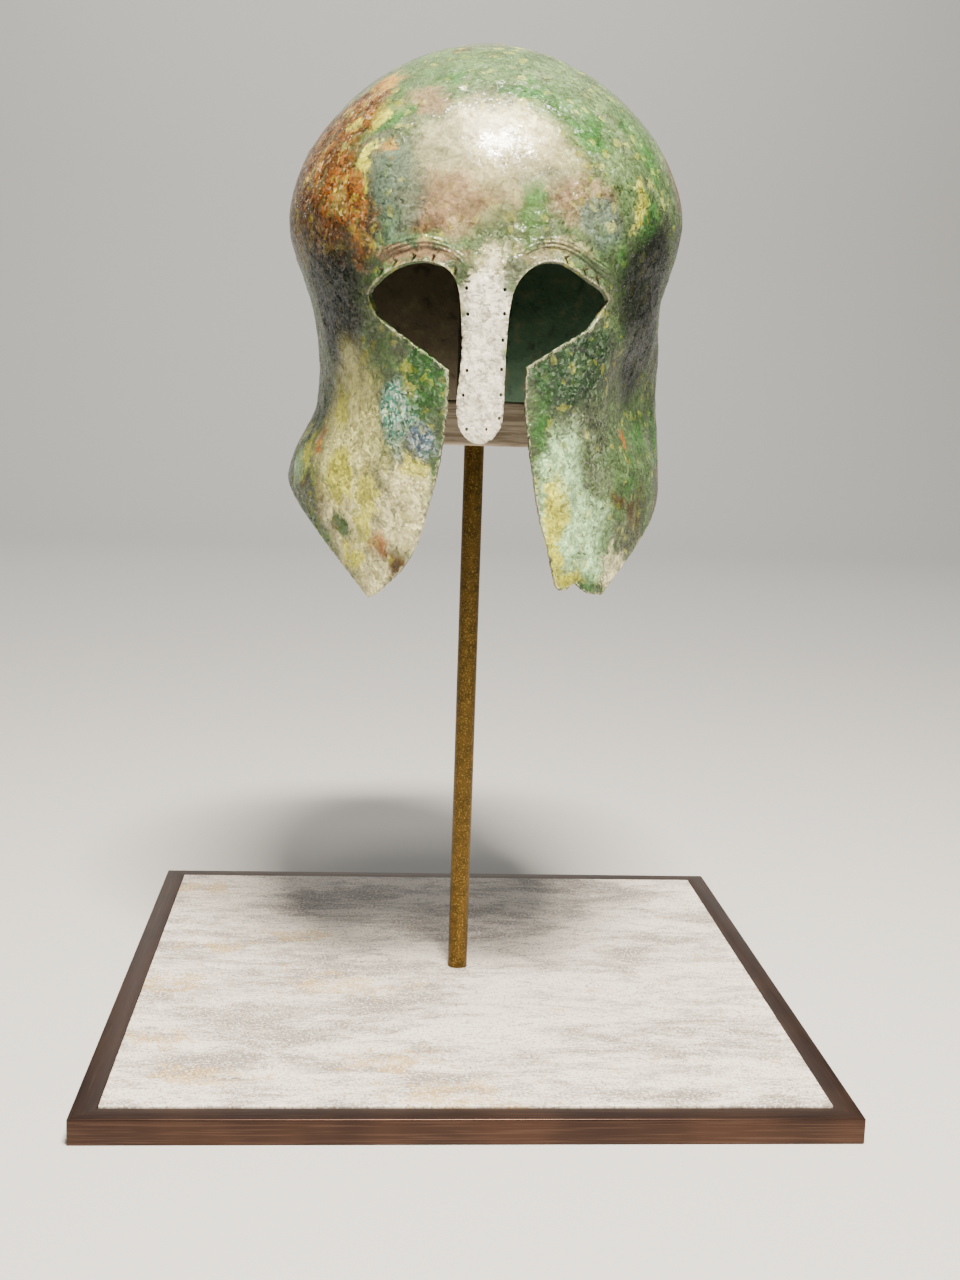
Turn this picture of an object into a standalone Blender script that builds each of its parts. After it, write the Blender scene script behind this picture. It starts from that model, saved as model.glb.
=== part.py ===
# Corinthian helmet on a display stand.
# Blender 4.5 script: metres, +Z up, the face looks along -Y, the base stands on z = 0.
# The bronze shell is one hollow solid. Its surface is a stack of horizontal sections, and its
# edges (cheek pieces, eyes, nasal, neck guard) are outlines drawn on that surface.

import math

import bmesh
import bpy
import numpy as np
from mathutils import Matrix, Vector, geometry


# Driving sizes of the helmet
HELMET_HEIGHT = 0.268
HALF_WIDTH = 0.100
FRONT_REACH = 0.116
BACK_REACH = 0.135
WALL = 0.0016
WIDEST_LEVEL = 0.67
DOME_POWER = 1.8
BACK_POWER = 2.15
BROW_FLARE = 0.0018
BROW_FLARE_WIDTH = 0.0045
RIDGE_HEIGHT = 0.0011
RIDGE_FROM_EDGE = 0.0085
RIDGE_HALF_WIDTH = 0.0026
LINE_FADE = 0.14
HOLE_RADIUS = 0.0010
PIN_RADIUS = 0.0006
PIN_OUTSIDE = 0.0042
PIN_INSIDE = 0.0010
FACET = 0.0100
EDGE_STEP = 0.0055

# Driving sizes of the stand
BASE_SIDE = 0.350
BASE_THICKNESS = 0.012
BORDER = 0.0112
RECESS = 0.0075
SLAB_PROUD = 0.0008
ROD_RADIUS = 0.0052
ROD_LENGTH_SEEN = 0.285
ROD_SEAT = 0.0028
ROD_X = 0.003
ROD_Y = 0.008
BLOCK_WIDTH = 0.120
BLOCK_DEPTH = 0.030
BLOCK_HEIGHT = 0.023
BLOCK_BEVEL = 0.0015
BLOCK_SOCKET = 0.010
POST_RADIUS = 0.009
CLEARANCE = 0.0003

# Where the helmet sits: the cheek tips' height, and its small lean and turn on the stand
TIP_GAP = 0.216
HELMET_ACROSS = 0.0035
HELMET_LEAN = math.radians(-2.4)
HELMET_TURN = math.radians(-5.0)
LEAN_LEVEL = 0.55

# Horizontal sections of the shell, from the cheek tips up to the widest level.
# up is a share of HELMET_HEIGHT, left and right of HALF_WIDTH, front of FRONT_REACH,
# back and middle of BACK_REACH; middle is how far behind the axis the section is widest, and
# fullness is the front half's superellipse power (2 is an ellipse).
SECTION_COLUMNS = ("up", "left", "right", "front", "back", "middle", "fullness")
SECTIONS = (
    (0.00, 0.98, 0.89, 0.92, 1.02, 0.10, 1.80),
    (0.10, 1.03, 0.90, 0.92, 1.02, 0.10, 1.80),
    (0.21, 1.06, 0.905, 0.93, 1.00, 0.12, 1.80),
    (0.26, 1.02, 0.905, 0.94, 0.93, 0.14, 1.80),
    (0.32, 0.92, 0.90, 0.955, 0.83, 0.15, 1.85),
    (0.38, 0.88, 0.90, 0.97, 0.78, 0.15, 1.90),
    (0.45, 0.88, 0.90, 0.985, 0.78, 0.13, 1.95),
    (0.52, 0.895, 0.90, 1.00, 0.81, 0.10, 2.00),
    (0.60, 0.955, 0.965, 1.00, 0.86, 0.04, 2.00),
    (WIDEST_LEVEL, 1.00, 1.00, 0.99, 0.89, 0.00, 2.00),
)

# Soft dents in the sheet: turn and turn_reach in degrees from the face, up and up_reach shares
# of HELMET_HEIGHT, depth a share of HALF_WIDTH. The first is the pinched waist on the right.
DENT_COLUMNS = ("turn", "turn_reach", "up", "up_reach", "depth")
DENTS = (
    (62.0, 28.0, 0.345, 0.15, 0.10),
    (-58.0, 28.0, 0.36, 0.12, 0.02),
)

# The lower edge from each cheek tip round to the nape.
# turn is in degrees from the face, up a share of HELMET_HEIGHT.
LOWER_EDGE_COLUMNS = ("left_turn", "left_up", "right_turn", "right_up")
LOWER_EDGE = (
    (38.0, 0.000, 41.0, 0.000),
    (48.0, 0.065, 49.0, 0.042),
    (58.0, 0.120, 57.0, 0.075),
    (72.0, 0.180, 70.0, 0.122),
    (82.0, 0.205, 83.0, 0.170),
    (95.0, 0.225, 95.0, 0.205),
    (120.0, 0.240, 120.0, 0.235),
    (150.0, 0.250, 150.0, 0.250),
    (180.0, 0.250, 180.0, 0.250),
)

# Face outlines: across is a share of HALF_WIDTH from the middle, up a share of HELMET_HEIGHT.
# The brow runs in from the outer corner of the eye and turns down into the nasal.
BROW_COLUMNS = ("left_across", "left_up", "right_across", "right_up")
BROW = (
    (0.535, 0.532, 0.583, 0.516),
    (0.490, 0.545, 0.540, 0.533),
    (0.450, 0.557, 0.470, 0.548),
    (0.395, 0.569, 0.415, 0.562),
    (0.330, 0.576, 0.355, 0.573),
    (0.255, 0.578, 0.295, 0.576),
    (0.185, 0.571, 0.235, 0.569),
    (0.140, 0.559, 0.190, 0.556),
    (0.114, 0.540, 0.152, 0.538),
)
NASAL_COLUMNS = BROW_COLUMNS
NASAL = (
    (0.101, 0.515, 0.126, 0.510),
    (0.096, 0.470, 0.111, 0.470),
    (0.097, 0.430, 0.101, 0.420),
    (0.107, 0.392, 0.094, 0.375),
    (0.123, 0.350, 0.091, 0.345),
    (0.124, 0.322, 0.086, 0.320),
    (0.112, 0.300, 0.070, 0.297),
    (0.078, 0.283, 0.030, 0.281),
)
NASAL_TIP = (-0.027, 0.274)
LOWER_RIM_COLUMNS = BROW_COLUMNS
LOWER_RIM = (
    (0.535, 0.532, 0.583, 0.516),
    (0.516, 0.510, 0.540, 0.496),
    (0.495, 0.492, 0.503, 0.471),
    (0.430, 0.472, 0.420, 0.452),
    (0.300, 0.437, 0.300, 0.426),
    (0.160, 0.398, 0.196, 0.402),
)
LEFT_CHEEK_EDGE = (
    (0.160, 0.398),
    (0.163, 0.360),
    (0.180, 0.303),
    (0.218, 0.225),
    (0.275, 0.153),
    (0.330, 0.095),
    (0.410, 0.050),
    (0.530, 0.006),
)
RIGHT_CHEEK_EDGE = (
    (0.196, 0.402),
    (0.186, 0.350),
    (0.196, 0.295),
    (0.223, 0.224),
    (0.250, 0.151),
    (0.298, 0.083),
    (0.322, 0.032),
)
# The right cheek's tip is broken into two points with a notch between them
RIGHT_BROKEN_TIP = (
    (0.322, 0.032),
    (0.345, 0.018),
    (0.385, 0.018),
    (0.421, 0.028),
    (0.470, 0.010),
    (0.520, 0.002),
)

# Small round holes along the nasal, and the pins set in the brow, as (across, up)
NASAL_HOLES = (
    (-0.072, 0.532),
    (0.098, 0.529),
    (-0.068, 0.490),
    (0.096, 0.490),
    (0.088, 0.447),
    (-0.075, 0.398),
    (0.081, 0.399),
    (-0.093, 0.357),
    (0.077, 0.357),
    (0.070, 0.318),
    (-0.080, 0.300),
    (0.010, 0.300),
)
BROW_PINS = (
    (-0.448, 0.568),
    (-0.382, 0.580),
    (-0.299, 0.5865),
    (-0.213, 0.5845),
    (-0.118, 0.563),
    (0.367, 0.582),
    (0.450, 0.564),
    (0.510, 0.551),
)


def clear_scene():
    for item in list(bpy.data.objects):
        bpy.data.objects.remove(item, do_unlink=True)


def material(name, red, green, blue, metallic, roughness):
    made = bpy.data.materials.new(name)
    made.use_nodes = True
    shader = made.node_tree.nodes["Principled BSDF"]
    shader.inputs["Base Color"].default_value = (red, green, blue, 1.0)
    shader.inputs["Metallic"].default_value = metallic
    shader.inputs["Roughness"].default_value = roughness
    made.diffuse_color = (red, green, blue, 1.0)
    return made


def add_object(name, mesh, finish, parent=None):
    piece = bpy.data.objects.new(name, mesh)
    bpy.context.scene.collection.objects.link(piece)
    piece.data.materials.append(finish)
    piece.parent = parent
    return piece


def mesh_from_bmesh(name, bm):
    bmesh.ops.recalc_face_normals(bm, faces=bm.faces)
    mesh = bpy.data.meshes.new(name)
    bm.to_mesh(mesh)
    bm.free()
    return mesh


# The helmet's surface

def smooth_between(places, values, at):
    """A smooth curve through the values, level at its last place."""
    places = np.asarray(places, float)
    values = np.asarray(values, float)
    slopes = np.gradient(values, places)
    slopes[-1] = 0.0
    at = np.clip(at, places[0], places[-1])
    cell = np.clip(np.searchsorted(places, at) - 1, 0, len(places) - 2)
    span = places[cell + 1] - places[cell]
    share = (at - places[cell]) / span
    start = (1 + 2 * share) * (1 - share) ** 2 * values[cell]
    start_slope = share * (1 - share) ** 2 * span * slopes[cell]
    end = share ** 2 * (3 - 2 * share) * values[cell + 1]
    end_slope = share ** 2 * (share - 1) * span * slopes[cell + 1]
    return start + start_slope + end + end_slope


def reaches(up):
    """Left, right, front, back and middle in metres and the front's fullness at a level."""
    up = np.asarray(up, float)
    rise = np.clip((up - WIDEST_LEVEL) / (1 - WIDEST_LEVEL), 0, 1)
    dome = np.clip(1 - rise ** DOME_POWER, 0, 1) ** (1 / DOME_POWER)
    levels = [row[0] for row in SECTIONS]
    left, right, front, back, middle, fullness = [
        smooth_between(levels, [row[column] for row in SECTIONS], up) for column in range(1, 7)
    ]
    sizes = (left * HALF_WIDTH, right * HALF_WIDTH, front * FRONT_REACH)
    sizes += (back * BACK_REACH, middle * BACK_REACH)
    return [size * dome for size in sizes] + [fullness]


def surface(turn, up):
    """The outer surface: turn is 0 at the face and grows to the viewer's right."""
    left, right, front, back, middle, fullness = reaches(up)
    sine = np.sin(turn)
    cosine = np.cos(turn)
    power = np.where(cosine > 0, fullness, BACK_POWER)
    side = np.where(sine < 0, left, right)
    reach = np.where(cosine > 0, front + middle, back - middle)
    x = side * np.sign(sine) * np.abs(sine) ** (2 / power)
    y = middle - reach * np.sign(cosine) * np.abs(cosine) ** (2 / power)
    z = (np.asarray(up) - LEAN_LEVEL) * HELMET_HEIGHT + 0 * x
    return np.stack([x, y, z], -1)


def surface_normal(turn, up):
    small = 1e-3
    across = surface(turn + small, up) - surface(turn - small, up)
    down = surface(turn, np.minimum(up - small, 0.999)) - surface(turn, np.minimum(up + small, 1.0))
    normal = np.cross(down, across)
    return normal / np.maximum(np.linalg.norm(normal, axis=-1, keepdims=True), 1e-12)


def turn_at(across, up):
    """The turn whose point lies across half widths from the middle of the face."""
    left, right, front, back, middle, fullness = reaches(up)
    side = left if across < 0 else right
    share = min(abs(across) * HALF_WIDTH / float(side), 1.0)
    return math.copysign(math.asin(share ** (float(fullness) / 2)), across)


# A flat map of the surface, with the crown in the middle, that keeps small shapes square

def build_unrolling():
    steps = np.linspace(0.03, 1.0, 700)
    ups = 1.0 - steps ** 2
    left, right, front, back, middle, fullness = reaches(ups)
    mean = (left + right + front + back) / 4
    drop = np.hypot(np.diff(mean), np.diff(ups) * HELMET_HEIGHT)
    growth = np.concatenate([[0.0], np.cumsum(2 * drop / (mean[1:] + mean[:-1]))])
    path = np.concatenate([[0.0], np.cumsum(drop)]) + mean[0]
    return {"ups": ups, "radius": mean[0] * np.exp(growth), "mean": mean, "path": path}


UNROLLED = build_unrolling()


def to_map(turn, up):
    radius = np.interp(-np.asarray(up), -UNROLLED["ups"], UNROLLED["radius"])
    return np.stack([radius * np.sin(turn), -radius * np.cos(turn)], -1)


def from_map(points):
    radius = np.maximum(np.hypot(points[:, 0], points[:, 1]), 1e-9)
    up = np.interp(radius, UNROLLED["radius"], UNROLLED["ups"])
    return np.arctan2(points[:, 0], -points[:, 1]), np.where(radius < UNROLLED["radius"][0], 1.0, up)


def map_scale(points):
    """Map units for each metre on the surface."""
    radius = np.hypot(points[:, 0], points[:, 1])
    mean = np.interp(radius, UNROLLED["radius"], UNROLLED["mean"])
    return np.maximum(radius, UNROLLED["radius"][0]) / mean


def on_map(rows):
    """Face outline rows (across, up) as map points."""
    return [to_map(turn_at(across, up), up) for across, up in rows]


def curve_through(points, step):
    """A smooth curve through the map points, cut into equal steps of about step metres."""
    points = np.asarray(points)
    count = len(points)
    ends = np.vstack([2 * points[0] - points[1], points, 2 * points[-1] - points[-2]])
    fine = []
    for index in range(count - 1):
        before, start, end, after = ends[index:index + 4]
        for share in np.linspace(0, 1, 16, endpoint=False):
            square = share ** 2
            cube = share ** 3
            weights = (
                -0.5 * share + square - 0.5 * cube,
                1 - 2.5 * square + 1.5 * cube,
                0.5 * share + 2 * square - 1.5 * cube,
                -0.5 * square + 0.5 * cube,
            )
            fine.append(weights[0] * before + weights[1] * start + weights[2] * end + weights[3] * after)
    fine.append(points[-1])
    fine = np.array(fine)
    lengths = np.linalg.norm(np.diff(fine, axis=0), axis=1) / map_scale((fine[1:] + fine[:-1]) / 2)
    along = np.concatenate([[0.0], np.cumsum(lengths)])
    pieces = max(1, round(along[-1] / step))
    at = np.linspace(0, along[-1], pieces + 1)
    return np.stack([np.interp(at, along, fine[:, 0]), np.interp(at, along, fine[:, 1])], -1)


def signed_rows(rows, side):
    """One side's (across, up) pairs out of a four-column table; side is -1 for the left."""
    first = 0 if side < 0 else 2
    return [(side * row[first], row[first + 1]) for row in rows]


def lower_edge_points(side):
    first = 0 if side < 0 else 2
    return [to_map(side * math.radians(row[first]), row[first + 1]) for row in LOWER_EDGE]


def shell_outline():
    """The whole edge of the shell on the map, as one closed loop."""
    left_lower = curve_through(lower_edge_points(-1), EDGE_STEP)
    right_lower = curve_through(lower_edge_points(1), EDGE_STEP)[::-1]
    right_tip = curve_through(on_map(RIGHT_BROKEN_TIP)[::-1], EDGE_STEP / 2)
    right_cheek = curve_through(on_map(RIGHT_CHEEK_EDGE)[::-1], EDGE_STEP)
    right_rim = curve_through(on_map(signed_rows(LOWER_RIM, 1))[::-1], EDGE_STEP)
    right_side = on_map(signed_rows(BROW + NASAL, 1))
    left_side = on_map(signed_rows(BROW + NASAL, -1))
    face = curve_through(right_side + on_map([NASAL_TIP]) + left_side[::-1], EDGE_STEP * 0.6)
    left_rim = curve_through(on_map(signed_rows(LOWER_RIM, -1)), EDGE_STEP)
    left_cheek = curve_through(on_map([(-a, up) for a, up in LEFT_CHEEK_EDGE]), EDGE_STEP)
    runs = (left_lower, right_lower, right_tip, right_cheek, right_rim, face, left_rim, left_cheek)
    loop = [runs[0][0]]
    for run in runs:
        for point in run:
            if np.linalg.norm(point - loop[-1]) > 0.15 * EDGE_STEP * map_scale(point[None])[0]:
                loop.append(point)
    if np.linalg.norm(loop[-1] - loop[0]) < 0.15 * EDGE_STEP * map_scale(loop[0][None])[0]:
        loop.pop()
    return np.array(loop)


def brow_line(side):
    return curve_through(on_map(signed_rows(BROW, side)), EDGE_STEP * 0.8)


def ridge_lines():
    """Lines along the foot, crest and far foot of the ridge above each eye."""
    lines = []
    for side in (-1, 1):
        line = brow_line(side)
        along = np.gradient(line, axis=0)
        along /= np.linalg.norm(along, axis=1, keepdims=True)
        off = np.stack([-along[:, 1], along[:, 0]], -1) * side
        inward = np.sign(np.sum(off * -line, axis=1, keepdims=True))
        off = off * inward
        scale = map_scale(line)[:, None]
        ridge = [RIDGE_FROM_EDGE + away * RIDGE_HALF_WIDTH for away in (-1, 0, 1)]
        for reach in [BROW_FLARE_WIDTH] + ridge:
            lines.append((line + off * scale * reach)[1:-1])
    return lines


def nearest_on(points, line, closed=False):
    """Distance in metres from each map point to a polyline, and how far along it, from 0 to 1."""
    ends = np.roll(line, -1, axis=0) if closed else line[1:]
    starts = line if closed else line[:-1]
    best = np.full(len(points), 9.0)
    along = np.zeros(len(points))
    for index, (start, end) in enumerate(zip(starts, ends)):
        run = end - start
        share = np.clip((points - start) @ run / max(run @ run, 1e-18), 0, 1)
        gap = np.linalg.norm(points - start - share[:, None] * run, axis=1)
        along = np.where(gap < best, (index + share) / len(starts), along)
        best = np.minimum(best, gap)
    return best / map_scale(points), along


def inside(points, loop):
    """Which map points lie inside the closed loop."""
    x, y = points[:, 0], points[:, 1]
    result = np.zeros(len(points), bool)
    for (x0, y0), (x1, y1) in zip(loop, np.roll(loop, -1, axis=0)):
        crosses = (y0 > y) != (y1 > y)
        level = np.where(crosses, (y - y0) / np.where(y1 == y0, 1e-18, y1 - y0), 0)
        result ^= crosses & (x < x0 + level * (x1 - x0))
    return result


def grid_points():
    """Staggered rings of points about FACET apart over the whole surface."""
    points = [np.zeros(2)]
    rings = int(UNROLLED["path"][-1] / (FACET * 0.87))
    for ring in range(1, rings):
        path = ring * FACET * 0.87
        radius = np.interp(path, UNROLLED["path"], UNROLLED["radius"])
        mean = np.interp(path, UNROLLED["path"], UNROLLED["mean"])
        count = max(6, round(2 * math.pi * mean / FACET))
        for index in range(count):
            turn = 2 * math.pi * (index + 0.5 * (ring % 2)) / count
            points.append(np.array([radius * math.sin(turn), -radius * math.cos(turn)]))
    return np.array(points)


def hole_ring(across, up):
    """An eight-sided hole drawn on the map round a face point."""
    middle = to_map(turn_at(across, up), up)
    radius = HOLE_RADIUS * map_scale(middle[None])[0]
    angles = [2 * math.pi * (step + 0.5) / 8 for step in range(8)]
    return np.array([middle + radius * np.array([math.cos(a), math.sin(a)]) for a in angles])


def brow_lift(points):
    """How far the surface stands out near the brow: its flared edge and the ridge above it."""
    lift = np.zeros(len(points))
    for side in (-1, 1):
        away, along = nearest_on(points, brow_line(side))
        flare = np.clip(1 - away / BROW_FLARE_WIDTH, 0, 1)
        crest = np.clip(1 - np.abs(away - RIDGE_FROM_EDGE) / RIDGE_HALF_WIDTH, 0, 1)
        fade = np.clip(np.minimum(along / LINE_FADE, (1 - along) / (2 * LINE_FADE)), 0, 1)
        lift = np.maximum(lift, fade * (BROW_FLARE * flare + RIDGE_HEIGHT * crest))
    return lift


def dent_depth(turn, up):
    """How far the surface is pushed in by the dents."""
    depth = np.zeros(len(turn))
    for middle, turn_reach, level, up_reach, share in DENTS:
        across = np.clip(np.abs(np.degrees(turn) - middle) / turn_reach, 0, 1)
        along = np.clip(np.abs(up - level) / up_reach, 0, 1)
        depth += share * HALF_WIDTH * ((1 - across ** 2) * (1 - along ** 2)) ** 2
    return depth


def skin_points(points):
    turn, up = from_map(points)
    place = surface(turn, up)
    normal = surface_normal(turn, up)
    normal[up > 0.9995] = (0, 0, 1)
    lift = brow_lift(points) - dent_depth(turn, up)
    return place + normal * lift[:, None], normal


def standing_normal(spot):
    """The skin's own normal at one map point, with the brow's flare in it."""
    small = HOLE_RADIUS * map_scale(spot[None])[0]
    steps = np.array([(small, 0), (-small, 0), (0, small), (0, -small)])
    places, normals = skin_points(spot + steps)
    normal = np.cross(places[0] - places[1], places[2] - places[3])
    normal *= np.sign(normal @ normals[0])
    return normal / np.linalg.norm(normal)


def shell_skin():
    """The outer skin as a triangle mesh: vertices and faces."""
    outline = shell_outline()
    ridges = ridge_lines()
    holes = [hole_ring(across, up) for across, up in NASAL_HOLES + BROW_PINS]
    centres = np.array([ring.mean(axis=0) for ring in holes])
    ridges = [line[clear_of(line, centres, HOLE_RADIUS * 2.0)] for line in ridges]
    ridges = [line[inside(line, outline)] for line in ridges]
    free = grid_points()
    free = free[inside(free, outline)]
    free = free[nearest_on(free, outline, closed=True)[0] > FACET * 0.42]
    for line in ridges:
        free = free[nearest_on(free, line)[0] > FACET * 0.36]
    free = free[clear_of(free, centres, HOLE_RADIUS * 3.4)]

    points = [outline]
    edges = [(i, (i + 1) % len(outline)) for i in range(len(outline))]
    first = len(outline)
    for ring in holes:
        points.append(ring)
        edges += [(first + i, first + (i + 1) % len(ring)) for i in range(len(ring))]
        first += len(ring)
    for line in ridges:
        points.append(line)
        edges += [(first + i, first + i + 1) for i in range(len(line) - 1)]
        first += len(line)
    points.append(free)
    flat = [Vector(point) for point in np.vstack(points)]
    flat, _, faces, _, _, _ = geometry.delaunay_2d_cdt(flat, edges, [], 0, 1e-9)
    flat = np.array([tuple(point) for point in flat])
    middles = np.array([flat[list(face)].mean(axis=0) for face in faces])
    kept = inside(middles, outline)
    for ring in holes:
        kept &= ~inside(middles, ring)
    faces = [face for face, keep in zip(faces, kept) if keep]
    places, _ = skin_points(flat)
    return places, faces


def clear_of(points, centres, reach):
    gaps = np.linalg.norm(points[:, None] - centres[None], axis=2) / map_scale(points)[:, None]
    return gaps.min(axis=1) > reach


def add_shell(finish, parent):
    places, faces = shell_skin()
    bm = bmesh.new()
    corners = [bm.verts.new(place) for place in places]
    for face in faces:
        bm.faces.new([corners[index] for index in face])
    loose = [corner for corner in bm.verts if not corner.link_faces]
    bmesh.ops.delete(bm, geom=loose, context="VERTS")
    crown = max(bm.faces, key=lambda face: face.calc_center_median().z)
    crown.normal_update()
    bm.faces.ensure_lookup_table()
    if crown.normal.z < 0:
        bmesh.ops.reverse_faces(bm, faces=bm.faces)
    mesh = bpy.data.meshes.new("helmet_shell")
    bm.to_mesh(mesh)
    bm.free()
    shell = add_object("helmet_shell", mesh, finish, parent)
    wall = shell.modifiers.new("wall", "SOLIDIFY")
    wall.thickness = WALL
    wall.offset = -1.0
    return shell


def add_pins(finish, parent):
    """Short pins through the holes along the brows, square to the surface."""
    for number, (across, up) in enumerate(BROW_PINS, start=1):
        spot = to_map(turn_at(across, up), up)
        places, _ = skin_points(spot[None])
        length = PIN_OUTSIDE + WALL + PIN_INSIDE
        bm = bmesh.new()
        bmesh.ops.create_cone(
            bm, cap_ends=True, segments=8, radius1=PIN_RADIUS, radius2=PIN_RADIUS, depth=length
        )
        pin = add_object(f"brow_pin_{number}", mesh_from_bmesh("brow_pin", bm), finish, parent)
        direction = Vector(standing_normal(spot))
        middle = Vector(places[0]) + direction * (PIN_OUTSIDE - length / 2)
        pin.location = middle
        pin.rotation_euler = direction.to_track_quat("Z", "Y").to_euler()


# The display stand

BASE_TOP = BASE_THICKNESS
TIP_LEVEL = BASE_TOP + TIP_GAP
ROD_TOP = BASE_TOP + ROD_LENGTH_SEEN + BLOCK_SOCKET
BLOCK_BOTTOM = BASE_TOP + ROD_LENGTH_SEEN + CLEARANCE
HELMET_CENTRE = Vector((ROD_X + HELMET_ACROSS, ROD_Y, TIP_LEVEL + LEAN_LEVEL * HELMET_HEIGHT))


def box_mesh(name, size_x, size_y, size_z):
    bm = bmesh.new()
    bmesh.ops.create_cube(bm, size=1.0, matrix=Matrix.Diagonal((size_x, size_y, size_z, 1.0)))
    return mesh_from_bmesh(name, bm)


def cylinder_mesh(name, radius, height, sides=24):
    bm = bmesh.new()
    bmesh.ops.create_cone(
        bm, cap_ends=True, segments=sides, radius1=radius, radius2=radius, depth=height
    )
    return mesh_from_bmesh(name, bm)


def bevel_edges(piece, width, segments=2):
    bevel = piece.modifiers.new("bevel", "BEVEL")
    bevel.width = width
    bevel.segments = segments
    bevel.limit_method = "ANGLE"


def cut(piece, name, mesh, location):
    """Cuts a hidden cutter's shape out of a piece."""
    cutter = bpy.data.objects.new(name, mesh)
    bpy.context.scene.collection.objects.link(cutter)
    cutter.location = location
    cutter.hide_render = True
    cutter.display_type = "WIRE"
    boolean = piece.modifiers.new(name, "BOOLEAN")
    boolean.operation = "DIFFERENCE"
    boolean.solver = "EXACT"
    boolean.object = cutter


def add_base_tray(finish):
    """A shallow square tray that holds the slab, with a seat for the rod in its floor."""
    tray = add_object("base_tray", box_mesh("base_tray", BASE_SIDE, BASE_SIDE, BASE_THICKNESS), finish)
    tray.location = (0, 0, BASE_THICKNESS / 2)
    bevel_edges(tray, 0.0006, 1)
    opening = BASE_SIDE - 2 * BORDER
    recess = box_mesh("tray_recess", opening, opening, 2 * RECESS)
    cut(tray, "tray_recess", recess, (0, 0, BASE_TOP))
    seat = cylinder_mesh("tray_seat", ROD_RADIUS + CLEARANCE, 2 * (ROD_SEAT + CLEARANCE))
    cut(tray, "tray_seat", seat, (ROD_X, ROD_Y, BASE_TOP - RECESS))
    return tray


def add_base_slab(finish):
    side = BASE_SIDE - 2 * BORDER - 2 * CLEARANCE
    bottom = BASE_TOP - RECESS + CLEARANCE
    top = BASE_TOP + SLAB_PROUD
    slab = add_object("base_slab", box_mesh("base_slab", side, side, top - bottom), finish)
    slab.location = (0, 0, (top + bottom) / 2)
    bevel_edges(slab, 0.0008, 1)
    hole = cylinder_mesh("slab_hole", ROD_RADIUS + CLEARANCE, 4 * RECESS)
    cut(slab, "slab_hole", hole, (ROD_X, ROD_Y, BASE_TOP))
    return slab


def add_rod(finish):
    bottom = BASE_TOP - RECESS - ROD_SEAT
    rod = add_object("stand_rod", cylinder_mesh("stand_rod", ROD_RADIUS, ROD_TOP - bottom), finish)
    rod.location = (ROD_X, ROD_Y, (ROD_TOP + bottom) / 2)
    return rod


def add_support_block(finish, post_x, post_y):
    """The wooden bar on the rod, behind the mouth, that carries the post to the crown."""
    block = box_mesh("support_block", BLOCK_WIDTH, BLOCK_DEPTH, BLOCK_HEIGHT)
    block = add_object("support_block", block, finish)
    block.location = (ROD_X, ROD_Y, BLOCK_BOTTOM + BLOCK_HEIGHT / 2)
    bevel_edges(block, BLOCK_BEVEL, 2)
    socket = cylinder_mesh("rod_socket", ROD_RADIUS + CLEARANCE, 2 * (BLOCK_SOCKET + CLEARANCE))
    cut(block, "rod_socket", socket, (ROD_X, ROD_Y, BLOCK_BOTTOM))
    top = BLOCK_BOTTOM + BLOCK_HEIGHT
    depth = BLOCK_HEIGHT - BLOCK_SOCKET - 4 * CLEARANCE
    depth = depth / 2
    seat = cylinder_mesh("post_socket", POST_RADIUS + CLEARANCE, 2 * (depth + CLEARANCE))
    cut(block, "post_socket", seat, (post_x, post_y, top))
    return block, top - depth


def crown_inside():
    """The middle of the crown's inner face, and its normal, in the world."""
    pose = Matrix.Translation(HELMET_CENTRE) @ Matrix.Rotation(HELMET_TURN, 4, "Z")
    pose = pose @ Matrix.Rotation(HELMET_LEAN, 4, "Y")
    place = pose @ Vector((0, 0, (1 - LEAN_LEVEL) * HELMET_HEIGHT - WALL))
    normal = pose.to_3x3() @ Vector((0, 0, 1))
    return place, normal


def add_crown_post(finish, centre, bottom):
    """The hidden post: a plain peg with a round end that carries the crown."""
    bm = bmesh.new()
    profile = [(0.0, bottom), (POST_RADIUS, bottom)]
    for step in range(6):
        angle = math.radians(18 * step)
        profile.append((POST_RADIUS * math.cos(angle), centre.z + POST_RADIUS * math.sin(angle)))
    corners = [bm.verts.new((radius, 0, height)) for radius, height in profile]
    corners[-1].co.x = 0.0
    lines = [bm.edges.new(pair) for pair in zip(corners[:-1], corners[1:])]
    bmesh.ops.spin(bm, geom=corners + lines, axis=(0, 0, 1), cent=(0, 0, 0), angle=2 * math.pi, steps=24)
    bmesh.ops.remove_doubles(bm, verts=bm.verts, dist=1e-6)
    post = add_object("crown_post", mesh_from_bmesh("crown_post", bm), finish)
    post.location = (centre.x, centre.y, 0)
    return post


def build():
    clear_scene()
    bronze = material("patinated_bronze", 0.28, 0.30, 0.20, 0.35, 0.55)
    pins = material("pin_bronze", 0.45, 0.36, 0.22, 0.5, 0.5)
    wood = material("block_wood", 0.42, 0.28, 0.15, 0.0, 0.6)
    steel = material("post_metal", 0.25, 0.25, 0.25, 0.9, 0.4)
    brass = material("rod_brass", 0.45, 0.36, 0.16, 1.0, 0.35)
    stone = material("slab_stone", 0.62, 0.58, 0.52, 0.0, 0.6)
    tray = material("tray_bronze", 0.09, 0.065, 0.045, 0.8, 0.45)

    pose = bpy.data.objects.new("helmet_pose", None)
    bpy.context.scene.collection.objects.link(pose)
    pose.location = HELMET_CENTRE
    pose.rotation_euler = (0, HELMET_LEAN, HELMET_TURN)
    add_shell(bronze, pose)
    add_pins(pins, pose)

    place, normal = crown_inside()
    centre = place - normal * (POST_RADIUS + CLEARANCE)
    add_base_tray(tray)
    add_base_slab(stone)
    add_rod(brass)
    block, seat = add_support_block(wood, centre.x, centre.y)
    add_crown_post(steel, centre, seat)


build()
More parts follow.
